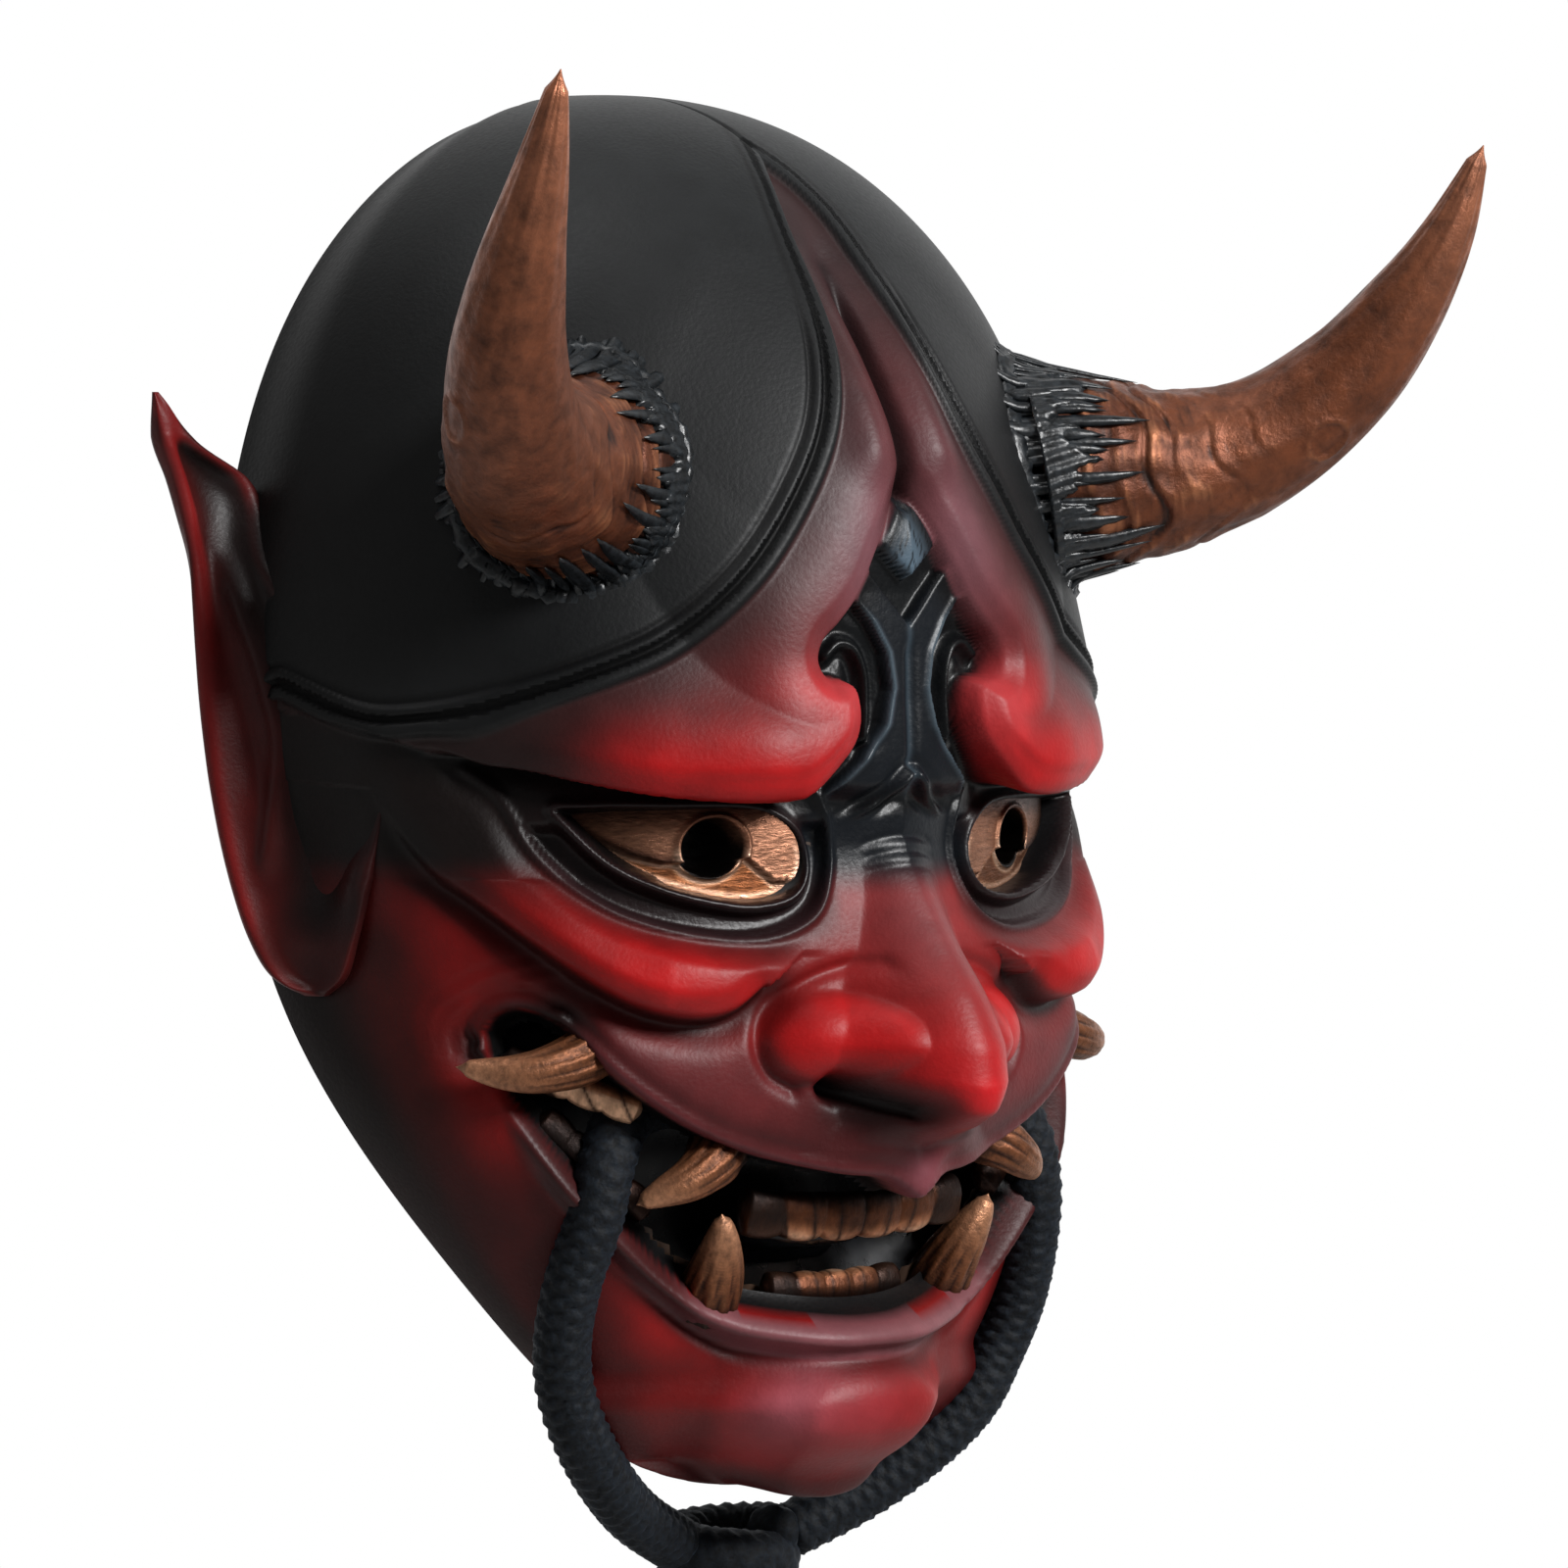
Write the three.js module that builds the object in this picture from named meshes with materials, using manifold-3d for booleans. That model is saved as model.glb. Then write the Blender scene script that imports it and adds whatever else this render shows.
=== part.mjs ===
// Horned demon mask of the Noh type: a hollow painted shell with two screwed-on horns, pointed ears,
// gilt eye plates, gilt teeth and fangs, a black mouth cup with a tongue, and a thick braided cord
// that runs through the mouth and is knotted under the chin.
//
// Millimetres, +Z up. The face looks along -Y and the flat back rim lies in the plane Y = 0.
// Shapes are laid out from the level of the pupils (Z = 0) on the middle plane (X = 0), and the whole
// head is then let down so that the origin is the middle of the rim's flat face at the crown.
import * as THREE from "three";
import { mergeVertices } from "three/addons/utils/BufferGeometryUtils.js";
import Module from "manifold-3d";

const wasm = await Module();
wasm.setup();

// ---- driving dimensions ------------------------------------------------------------------------
const CROWN_Z = 125; // top of the skull above the pupils
const CHIN_Z = -108; // underside of the chin
const HALF_WIDTH = 82; // half the width at the cheekbones
const DEPTH = 82; // brow plane to the back rim
const SHELL = 7; // wall thickness
const RIM_SETBACK = 50; // how far the rim runs forward under the chin
const GAP = 0.35; // clearance left between glued or fitted neighbours
const PUPIL_X = 33; // half the distance between the sight holes
const PUPIL_R = 5;
const CORD_R = 5; // braided cord, 10 mm thick
const TENON_R = 6; // peg that holds a horn in the skull

const MID_Z = (CROWN_Z + CHIN_Z) / 2;
const HALF_HEIGHT = (CROWN_Z - CHIN_Z) / 2;
const RIM_MID_Z = CROWN_Z - SHELL / 2; // middle of the rim's flat face at the crown

// ---- colours -----------------------------------------------------------------------------------
const paint = (color, roughness, metalness = 0) =>
  new THREE.MeshStandardMaterial({ color, roughness, metalness });
const RED = paint(0x9c1c1c, 0.45);
const BLACK = paint(0x15171a, 0.4);
const BRONZE = paint(0x8a4f2e, 0.4, 0.6);
const GILT = paint(0xa8683a, 0.3, 0.9);
const CORD = paint(0x10141c, 0.9);
const STEEL = paint(0x9a9da0, 0.35, 1);
const FELT = paint(0x3a3532, 0.95);

// ---- small helpers -----------------------------------------------------------------------------
const clamp01 = (t) => Math.min(1, Math.max(0, t));
const ease = (t) => clamp01(t) ** 2 * (3 - 2 * clamp01(t));
const bell = (x, centre, spread) => Math.exp(-(((x - centre) / spread) ** 2));
const oval = (n, power) => Math.max(0, 1 - Math.abs(n) ** power) ** (1 / power);
const point = (x, y, z) => new THREE.Vector3(x, y, z);
const mirrored = (points) => points.map((p) => point(-p.x, p.y, p.z));

const head = new THREE.Group();
head.position.z = -RIM_MID_Z;

function add(name, geometry, material) {
  const mesh = new THREE.Mesh(geometry, material);
  mesh.name = name;
  head.add(mesh);
  return mesh;
}

// A closed geometry as a manifold solid, and back again.
function solid(geometry) {
  const bare = geometry.clone();
  bare.deleteAttribute("normal");
  bare.deleteAttribute("uv");
  const merged = mergeVertices(bare, 1e-3);
  return new wasm.Manifold(
    new wasm.Mesh({
      numProp: 3,
      vertProperties: merged.attributes.position.array,
      triVerts: new Uint32Array(merged.index.array),
    }),
  );
}

function geometryOf(manifold) {
  const mesh = manifold.getMesh();
  return new THREE.BufferGeometry()
    .setAttribute("position", new THREE.BufferAttribute(mesh.vertProperties, 3))
    .setIndex(new THREE.BufferAttribute(mesh.triVerts, 1));
}

function mirrorX(manifold) {
  return manifold.mirror([1, 0, 0]);
}

// ---- the head's plain form ---------------------------------------------------------------------
// Every level Z is half an oval: X = w sin(angle), Y = -(setback + (d - setback) cos(angle)).
const levelOf = (z) => (z - MID_Z) / HALF_HEIGHT;
const widthAt = (z) =>
  HALF_WIDTH * oval(levelOf(z), 2.2) * (1 - 0.1 * bell(z, -84, 34) + 0.04 * ease((z - 20) / 80));
const setbackAt = (z) => RIM_SETBACK * clamp01((-5 - z) / 103) ** 0.8;
function depthAt(z) {
  const n = levelOf(z);
  const full = DEPTH * oval(n, n > 0 ? 2.4 : 3.6) - 6 * bell(z, -70, 22);
  return Math.max(full, setbackAt(z) + 1);
}

// A point of the form: across and up run from -1 to 1 over the whole mask, in is how deep below
// the plain form it lies, and relief pushes it out again along the surface.
function formPoint(across, up, inward, relief) {
  const packed = (t) => t * (0.62 + 0.38 * t * t); // finer towards the features
  const s = packed(across);
  const t = packed(up);
  const x = s * Math.sqrt(1 - (t * t) / 2);
  const z = t * Math.sqrt(1 - (s * s) / 2);
  const r = Math.min(1, Math.hypot(x, z));
  const turn = r > 1e-9 ? Math.sin((r * Math.PI) / 2) / r : Math.PI / 2;
  const nx = x * turn;
  const nz = z * turn;
  const ny = Math.cos((r * Math.PI) / 2);
  const girth = Math.sqrt(Math.max(1e-12, 1 - nz * nz));
  const sine = girth > 1e-5 ? nx / girth : 0;
  const cosine = girth > 1e-5 && r < 1 - 1e-9 ? ny / girth : 0;
  const level = MID_Z + (HALF_HEIGHT - inward) * nz;
  const plain = MID_Z + HALF_HEIGHT * nz;
  const setback = setbackAt(plain);
  const fullWidth = widthAt(plain);
  const fullDepth = depthAt(plain);
  const wide = Math.max(0.3 * fullWidth, fullWidth - inward);
  const deep = Math.max(setback + 0.3 * (fullDepth - setback), fullDepth - inward);
  const p = point(wide * sine, -(setback + (deep - setback) * cosine), level);
  if (relief) {
    const lift = relief(Math.abs(p.x), p.z, cosine);
    p.x += lift * sine * 0.6;
    p.y -= lift * Math.max(0.35, cosine);
  }
  return p;
}

// Distance from a place on the face, seen from the front, to an open line of [x, z] points.
function distanceTo(line, x, z) {
  let best = Infinity;
  for (let i = 0; i + 1 < line.length; i++) {
    const [ax, az] = line[i];
    const [bx, bz] = line[i + 1];
    const along = clamp01(
      ((x - ax) * (bx - ax) + (z - az) * (bz - az)) / ((bx - ax) ** 2 + (bz - az) ** 2),
    );
    best = Math.min(best, Math.hypot(x - ax - along * (bx - ax), z - az - along * (bz - az)));
  }
  return best;
}

// ---- features of the right half of the face, in [x, z] seen from the front ---------------------
const BROW_EDGE = [[72, 17], [60, 18], [46, 15], [33, 12], [24, 13], [18, 19], [17, 27]];
const BROW_INNER = [[22, 33], [16, 38], [10, 47], [3, 58]];
const CHEEK_RIDGE = [[76, 6], [66, -3], [56, -11], [46, -15], [36, -17]];
const UPPER_LIP = [[64, -20], [54, -24], [46, -34], [36, -41], [24, -46], [10, -50], [0, -52]];
const LOWER_LIP = [[52, -60], [45, -70], [36, -79], [22, -83], [0, -84]];

// Height of the modelling over the plain form, at a place seen from the front.
function faceRelief(x, z, facing) {
  const fade = ease(facing / 0.25); // the rim stays plain
  const brow = 9 * bell(distanceTo(BROW_EDGE, x, z), 0, 7) * (z > 10 ? 1 : 0.3);
  const browTop = 5 * bell(distanceTo(BROW_INNER, x, z), 0, 8);
  const socket = -5 * bell(Math.hypot((x - 38) / 1.9, z + 2), 0, 10);
  const slope = clamp01((4 - z) / 40);
  const nose = z > -40 ? 23 * slope ** 1.2 * bell(x, 0, 5 + 7 * slope) : 0;
  const noseEnd = z <= -40 ? 23 * bell(z, -40, 3.5) * bell(x, 0, 12) : 0;
  const wing = 8 * bell(Math.hypot(x - 20, (z + 27) * 1.2), 0, 7);
  const cheek = 7 * bell(distanceTo(CHEEK_RIDGE, x, z), 0, 8);
  const upperLip = 4 * bell(distanceTo(UPPER_LIP, x, z), 0, 6);
  const lowerLip = 5 * bell(distanceTo(LOWER_LIP, x, z), 0, 5);
  const chin = 13 * bell(x, 10, 19) * bell(z, -97, 10);
  const temple = -2 * bell(Math.hypot(x - 70, z - 30), 0, 14);
  return (
    fade *
    (brow + browTop + socket + nose + noseEnd + wing + cheek + upperLip + lowerLip + chin + temple)
  );
}

// A closed wall between two depths of the form. A box of many squares is wrapped on to it: its
// front face becomes the outside, its back face the inside, and its four sides the rim.
function wall(outer, inner, squares, relief, region = [-1, 1, -1, 1], bowl = () => 0) {
  const box = new THREE.BoxGeometry(2, 2, 2, squares, squares, 1);
  const place = box.attributes.position;
  const [left, right, low, high] = region;
  for (let i = 0; i < place.count; i++) {
    const u = place.getX(i);
    const v = place.getY(i);
    const across = left + ((right - left) * (u + 1)) / 2;
    const up = low + ((high - low) * (v + 1)) / 2;
    const front = place.getZ(i) > 0;
    const p = formPoint(across, up, front ? outer : inner, front ? relief : null);
    p.y += bowl(u, v);
    place.setXYZ(i, p.x, p.y, p.z);
  }
  return solid(box);
}

// A flat outline seen from the front, made a straight cutter from y0 to y1.
function cutter(outline, y0, y1) {
  const shape = new THREE.Shape(outline.map(([x, z]) => new THREE.Vector2(x, z)));
  const block = new THREE.ExtrudeGeometry(shape, { depth: y1 - y0, bevelEnabled: false, steps: 1 });
  block.rotateX(Math.PI / 2); // the outline's second axis becomes Z, and its depth runs to -Y
  block.translate(0, y1, 0);
  return solid(block);
}

// A closed smooth outline through a few [x, z] points.
function smoothOutline(points, count) {
  const curve = new THREE.CatmullRomCurve3(points.map(([x, z]) => point(x, z, 0)), true);
  return curve.getSpacedPoints(count).slice(0, count).map((p) => [p.x, p.y]);
}

// A tapering round body along a curve: a cylinder whose rings are set on the curve. reach says how
// far each ring stands from the curve at a share of its length and an angle round it.
function sweep(points, reach, sides, rings, up = point(0, 0, 1)) {
  const curve = new THREE.CatmullRomCurve3(points);
  const tube = new THREE.CylinderGeometry(1, 1, 1, sides, rings);
  const place = tube.attributes.position;
  for (let i = 0; i < place.count; i++) {
    const share = clamp01(0.5 - place.getY(i)); // the cylinder's top is the start of the curve
    const middle = curve.getPointAt(share);
    const along = curve.getTangentAt(share);
    const sideways = up.clone().cross(along).normalize();
    const upwards = along.clone().cross(sideways);
    const around = Math.atan2(place.getX(i), place.getZ(i));
    const isCap = Math.hypot(place.getX(i), place.getZ(i)) < 1e-6;
    const r = isCap ? 0 : reach(share, around);
    const p = middle
      .addScaledVector(sideways, r * Math.sin(around))
      .addScaledVector(upwards, r * Math.cos(around));
    place.setXYZ(i, p.x, p.y, p.z);
  }
  const made = solid(tube);
  if (made.volume() >= 0) return made;
  throw new Error("a swept body came out inside out");
}

// A straight round peg from a point, along a direction.
function peg(start, direction, radius, length, sides = 20) {
  const axis = new THREE.CylinderGeometry(radius, radius, length, sides);
  axis.translate(0, length / 2, 0);
  axis.applyQuaternion(
    new THREE.Quaternion().setFromUnitVectors(point(0, 1, 0), direction.clone().normalize()),
  );
  axis.translate(start.x, start.y, start.z);
  return solid(axis);
}

// ---- openings in the face ----------------------------------------------------------------------
const EYE = [[56, 6], [48, 7], [38, 7], [29, 6.5], [23, 4], [20.5, -1], [23, -7], [31, -8.5], [42, -6], [50, -0.5]];
const MOUTH = [
  [62, -25], [54, -30], [46, -39], [37, -46], [26, -51], [13, -55], [0, -58],
  [-13, -55], [-26, -51], [-37, -46], [-46, -39], [-54, -30], [-62, -25],
  [-63, -34], [-56, -45], [-50, -54], [-43, -63], [-35, -72], [-22, -77], [0, -79],
  [22, -77], [35, -72], [43, -63], [50, -54], [56, -45], [63, -34],
];
const FRONT = -125;
const eyeOutline = smoothOutline(EYE, 24);

// ---- horns: stations along the middle, and the radius at each ----------------------------------
const HORN_SEAT = point(54, -59, 61);
const HORN_LINE = [
  point(46, -53, 60), HORN_SEAT, point(70, -70, 62.5), point(82.5, -80, 68), point(92, -90, 79),
  point(97, -98.5, 92), point(99.5, -105.5, 105), point(101, -111, 120),
];
const HORN_AXIS = point(0.8, -0.6, 0.08).normalize();
const HORN_ROOT_R = 18.5;
const hornReach = (share) =>
  (HORN_ROOT_R - 0.9) * (1 - share) ** 0.85 * (1 + 0.1 * bell(share, 0.45, 0.3)) + 0.9;

// The largest body of a solid, once the offcuts are dropped.
const largest = (manifold) => manifold.decompose().sort((a, b) => b.volume() - a.volume())[0];

// A piece trimmed to stand clear of its neighbours by the fitting gap on every side.
function clearOf(piece, ...neighbours) {
  const steps = [[1, 0, 0], [-1, 0, 0], [0, 1, 0], [0, -1, 0], [0, 0, 1], [0, 0, -1], [0, 0, 0]];
  let trimmed = piece;
  for (const neighbour of neighbours) {
    for (const step of steps) {
      trimmed = trimmed.subtract(neighbour.translate(step.map((t) => t * GAP)));
    }
  }
  return largest(trimmed);
}

// The mask's own outside, grown by the fitting gap, to shape what sits on it.
const outside = wall(-2 * GAP, 30, 36, faceRelief);

function makeHorn() {
  const body = sweep(HORN_LINE, hornReach, 16, 18);
  const cone = body.subtract(outside);
  const tenonStart = HORN_SEAT.clone().addScaledVector(HORN_AXIS, 8);
  const tenon = peg(tenonStart, HORN_AXIS.clone().negate(), TENON_R, 17);
  const pilot = peg(tenonStart.clone().addScaledVector(HORN_AXIS, 2), HORN_AXIS.clone().negate(), 2 + GAP, 30, 12);
  return largest(cone).add(tenon).subtract(pilot);
}

// The screw that pulls the horn's tenon tight from inside the skull, with its washer face.
function makeScrew() {
  const headSeat = HORN_SEAT.clone().addScaledVector(HORN_AXIS, -9 - GAP);
  const shaft = peg(headSeat.clone().addScaledVector(HORN_AXIS, -1), HORN_AXIS, 2, 17, 12);
  const washer = peg(headSeat, HORN_AXIS.clone().negate(), 5, 1.4, 20);
  const top = peg(headSeat.clone().addScaledVector(HORN_AXIS, -1), HORN_AXIS.clone().negate(), 3.6, 3, 16);
  return shaft.add(washer).add(top);
}

// The ring of black hair that is modelled round the root of a horn.
function makeHairRing() {
  const section = [[17.5, -9], [22.5, -9], [23.2, 1], [21.5, 4], [19, 6], [17.5, 4]];
  const ring = new THREE.LatheGeometry(
    [...section, section[0]].map(([r, h]) => new THREE.Vector2(r, h)),
    20,
  );
  const spin = new THREE.Quaternion().setFromUnitVectors(point(0, 1, 0), point(0.7, -0.66, 0.27).normalize());
  ring.applyQuaternion(spin);
  ring.translate(HORN_SEAT.x, HORN_SEAT.y, HORN_SEAT.z);
  const wide = sweep(HORN_LINE, (share) => hornReach(share) + GAP, 16, 18);
  const cut = solid(ring).subtract(outside).subtract(wide);
  return largest(cut);
}

// ---- cord: through the mouth, round the jaw and into a knot under the chin ---------------------
// From the middle of the mouth to the knot on the left side; the right side mirrors it.
const CORD_HALF = [
  point(0, -52, -42), point(16, -52.5, -42), point(30, -54.5, -42), point(40, -57, -44),
  point(46, -59.5, -51), point(48.5, -59.5, -60), point(50.5, -56.5, -70), point(50.5, -53.5, -80),
  point(48, -51, -89), point(43, -49.5, -98), point(35, -46, -106), point(25, -41.5, -113), point(11.5, -36.5, -119.5),
];
const cordLine = [...mirrored(CORD_HALF).reverse(), ...CORD_HALF.slice(1)];
const KNOT_AT = point(0, -35, -124);

function cordTube(points, steps) {
  const round = new THREE.Shape().absarc(0, 0, CORD_R, 0, 2 * Math.PI);
  return new THREE.ExtrudeGeometry(round, {
    steps,
    bevelEnabled: false,
    curveSegments: 5,
    extrudePath: new THREE.CatmullRomCurve3(points),
  });
}
const cordSolid = solid(cordTube(cordLine, 48));

// ---- shell -------------------------------------------------------------------------------------
function tenonHole() {
  const start = HORN_SEAT.clone().addScaledVector(HORN_AXIS, 10);
  return peg(start, HORN_AXIS.clone().negate(), TENON_R + GAP, 32);
}

const EYELET_AT = point(86, -5.6, 25); // hole for the wearing ribbon, beside the rim behind the ear
const EYELET_R = 3.4;

function eyeletHole() {
  return peg(EYELET_AT, point(-1, 0, 0), EYELET_R, 30, 18);
}

function makeShell() {
  const eye = cutter(eyeOutline, FRONT, -20);
  const mouth = cutter(MOUTH, FRONT, -20);
  const nostril = sweep([point(11, -98, -44), point(12, -90, -36), point(12, -70, -28)], () => 3, 10, 4);
  const cuts = [eye, nostril, tenonHole(), eyeletHole()];
  const saddle = sweep(CORD_HALF.slice(2), () => CORD_R + GAP, 14, 24);
  let shell = wall(0, SHELL, 36, faceRelief).subtract(mouth);
  shell = shell.subtract(saddle).subtract(mirrorX(saddle));
  for (const cut of cuts) shell = shell.subtract(cut).subtract(mirrorX(cut));
  return largest(shell).simplify(0.03);
}

const shell = makeShell();
add("mask_shell", geometryOf(shell), RED);

// ---- horns, their screws and hair rings --------------------------------------------------------
const horn = makeHorn();
add("horn_right", geometryOf(mirrorX(horn)), BRONZE);
add("horn_left", geometryOf(horn), BRONZE);
const screw = makeScrew();
add("horn_screw_right", geometryOf(mirrorX(screw)), STEEL);
add("horn_screw_left", geometryOf(screw), STEEL);
const hairRing = makeHairRing();
add("horn_hair_ring_right", geometryOf(mirrorX(hairRing)), BLACK);
add("horn_hair_ring_left", geometryOf(hairRing), BLACK);

// ---- ears: a cupped plate between its root on the cheek and its free edge ----------------------
// Each row: height, root x and y, width of the ear there, and how far it turns outwards.
const EAR_ROWS = [
  [-25, 73, -29.5, 4, 0.6],
  [-20, 76, -29.5, 12, 0.3],
  [-5, 77, -32.5, 21, 0.3],
  [10, 77, -34.5, 25, 0.33],
  [20, 77.5, -33.5, 26, 0.36],
  [36, 78, -23.5, 19, 0.45],
  [49, 78, -12.5, 13, 0.75],
  [60, 77.5, -7.5, 13.5, 0.98],
  [68, 85, -7.5, 8, 0.98],
  [75, 92.5, -7, 2, 0.98],
];
const EAR_THICK = 4;
const EAR_CUP = 0.2; // depth of the hollow, as a share of the ear's width

function makeEar() {
  const plate = new THREE.BoxGeometry(1, 1, 1, 6, 18, 1);
  const place = plate.attributes.position;
  for (let i = 0; i < place.count; i++) {
    const up = (place.getY(i) + 0.5) * (EAR_ROWS.length - 1);
    const k = Math.min(EAR_ROWS.length - 2, Math.floor(up));
    const [z, x, y, width, out] = EAR_ROWS[k].map((t, n) => t + (EAR_ROWS[k + 1][n] - t) * (up - k));
    const back = Math.sqrt(1 - out * out);
    const across = place.getX(i) + 0.5;
    const sunk = place.getZ(i) * EAR_THICK - EAR_CUP * width * Math.sin(Math.PI * across);
    place.setXYZ(i, x + across * width * out + sunk * back, y + across * width * back - sunk * out, z);
  }
  return solid(plate).subtract(outside);
}

const ear = largest(makeEar());
add("ear_right", geometryOf(mirrorX(ear)), RED);
add("ear_left", geometryOf(ear), RED);

// ---- eye plates: gilt sheet set inside the lids, each with its sight hole ----------------------
function inset(outline, by) {
  const middle = outline.reduce((m, p) => [m[0] + p[0] / outline.length, m[1] + p[1] / outline.length], [0, 0]);
  return outline.map(([x, z]) => {
    const far = Math.hypot(x - middle[0], z - middle[1]);
    return [x + ((middle[0] - x) * by) / far, z + ((middle[1] - z) * by) / far];
  });
}

function makeEyePlate() {
  const layer = wall(4, 6.6, 26, null);
  const lidded = layer.intersect(cutter(inset(eyeOutline, 0.6), FRONT, -20));
  const hole = peg(point(PUPIL_X, -110, 0), point(0, 1, 0), PUPIL_R, 90, 24);
  return largest(lidded.subtract(hole));
}

const eyePlate = makeEyePlate();
add("eye_plate_right", geometryOf(mirrorX(eyePlate)), GILT);
add("eye_plate_left", geometryOf(eyePlate), GILT);

// ---- mouth cup: the black lining behind the lips, and the tongue in it -------------------------
const CUP_REGION = [-0.78, 0.78, -0.82, -0.22];
const CUP_BOWL = 30;
const bowl = (u, v) => CUP_BOWL * (1 - u ** 4) * (1 - v ** 4) * (0.75 + 0.25 * v);
const cup = wall(SHELL + 1, SHELL + 3.2, 18, null, CUP_REGION, bowl);
add("mouth_cup", geometryOf(cup), BLACK);

const tongue = sweep(
  [point(0, -47, -66), point(0, -54, -64), point(0, -61, -66)],
  (share, around) => (16 - 5 * share) * (1 - 0.66 * Math.cos(around) ** 2) * oval(share * 0.98, 4),
  20,
  8,
);
add("tongue", geometryOf(tongue), BLACK);

// ---- teeth -------------------------------------------------------------------------------------
// A row of teeth: blunt pegs beside each other on a common strip of gum that follows the jaw.
function toothRow(from, to, count, rootZ, height, depth) {
  const seat = (angle) => {
    const z = rootZ(angle);
    const back = setbackAt(z);
    const deep = depthAt(z) - depth;
    return point((widthAt(z) - depth) * Math.sin(angle), -(back + (deep - back) * Math.cos(angle)), z);
  };
  const stations = [];
  for (let i = 0; i <= 8; i++) stations.push(seat(from + ((to - from) * i) / 8));
  let row = sweep(stations, () => 2, 6, 8);
  const spacing = stations[0].distanceTo(stations[8]) / count;
  for (let i = 0; i < count; i++) {
    const angle = from + ((to - from) * (i + 0.5)) / count;
    const tooth = new THREE.CylinderGeometry(0.36 * spacing, 0.54 * spacing, Math.abs(height), 7, 1);
    tooth.rotateX(height > 0 ? Math.PI / 2 : -Math.PI / 2);
    tooth.scale(1, 0.7, 1);
    tooth.rotateZ(angle);
    const at = seat(angle);
    tooth.translate(at.x, at.y, at.z + height / 2);
    row = row.add(solid(tooth));
  }
  return row;
}

const UPPER_ROOT_Z = (angle) => -58.5 + 9 * (1 - Math.cos(angle * 1.6));
const LOWER_ROOT_Z = (angle) => -76.5 + 5 * (1 - Math.cos(angle * 1.5));
const taper = (root) => (share) => root * (1 - share) ** 0.7 * (1 + 0.25 * share) + 0.45;
const FANGS = {
  corner_fang: { root: 4.6, line: [point(47, -58, -31.5), point(55, -61, -34), point(63.5, -57, -35.5), point(70, -50, -35)] },
  upper_fang: { root: 4.4, line: [point(29, -66.5, -50), point(34, -69, -52.5), point(39.5, -67.5, -55.5), point(44, -64.5, -58)] },
  lower_fang: { root: 4.8, line: [point(24.5, -60.5, -76), point(26, -64.5, -71), point(28, -67.5, -65.5), point(29.5, -69, -60)] },
};
const fangs = {};
for (const [name, { root, line }] of Object.entries(FANGS)) {
  const sideways = name === "lower_fang" ? point(1, 0, 0) : undefined;
  const fang = clearOf(sweep(line, taper(root), 12, 9, sideways), shell, cordSolid);
  fangs[name] = fang;
  add(name + "_right", geometryOf(mirrorX(fang)), GILT);
  add(name + "_left", geometryOf(fang), GILT);
}

add("upper_teeth", geometryOf(clearOf(toothRow(-0.4, 0.4, 8, UPPER_ROOT_Z, -7.5, 5), shell)), GILT);
add("lower_teeth", geometryOf(clearOf(toothRow(-0.3, 0.3, 6, LOWER_ROOT_Z, 5, 6), shell)), GILT);
const upperCheekTeeth = toothRow(0.66, 1.0, 4, (angle) => -41 + 26 * (angle - 0.66), -5, 5.5);
const lowerCheekTeeth = toothRow(0.68, 0.95, 4, (angle) => -66 + 62 * (angle - 0.62), 5, 6.5);
for (const side of ["right", "left"]) {
  const put = (piece) => geometryOf(side === "right" ? mirrorX(piece) : piece);
  const corner = fangs.corner_fang;
  add("upper_cheek_teeth_" + side, put(clearOf(upperCheekTeeth, shell, corner, cordSolid)), GILT);
  add("lower_cheek_teeth_" + side, put(clearOf(lowerCheekTeeth, shell, corner, cordSolid)), GILT);
}

// ---- cord, knot, tails and tassels --------------------------------------------------------------
add("mouth_cord", geometryOf(cordSolid), CORD);

const knotForm = new THREE.SphereGeometry(1, 16, 10);
knotForm.scale(13.5, 11, 10);
knotForm.translate(KNOT_AT.x, KNOT_AT.y, KNOT_AT.z);
add("chin_knot", geometryOf(clearOf(solid(knotForm), cordSolid)), CORD);

const TAIL = [point(6.5, -35.5, -134.8), point(8, -35.5, -150), point(9, -34.5, -168), point(9, -34, -188)];
const tailEnd = TAIL[TAIL.length - 1];
const TASSEL = [[0, 0], [4.6, 0], [6.6, -3], [6.6, -9], [4.8, -12], [7, -20], [7.6, -36], [0, -36]];
for (const [side, name] of [[-1, "right"], [1, "left"]]) {
  const line = side < 0 ? mirrored(TAIL) : TAIL;
  add("cord_tail_" + name, geometryOf(solid(cordTube(line, 10))), CORD);
  const tassel = new THREE.LatheGeometry(TASSEL.map(([r, h]) => new THREE.Vector2(r, -h)), 16);
  tassel.rotateX(-Math.PI / 2);
  tassel.translate(side * tailEnd.x, tailEnd.y, tailEnd.z - GAP);
  add("cord_tassel_" + name, geometryOf(solid(tassel)), CORD);
}

// ---- inside: felt pads glued to the inner wall --------------------------------------------------
const pad = (region, name) => {
  const felt = wall(SHELL + GAP, SHELL + 6, 8, null, region);
  add(name, geometryOf(felt), FELT);
};
pad([-0.3, 0.3, 0.5, 0.72], "forehead_pad");
pad([0.6, 0.8, -0.18, 0.12], "cheek_pad_left");
pad([-0.8, -0.6, -0.18, 0.12], "cheek_pad_right");

export default head;
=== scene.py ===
"""A horned demon mask of the Noh type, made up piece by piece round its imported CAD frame."""

import math
import random

import bmesh
import bpy
import numpy as np
from mathutils import Matrix, Vector


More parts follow.
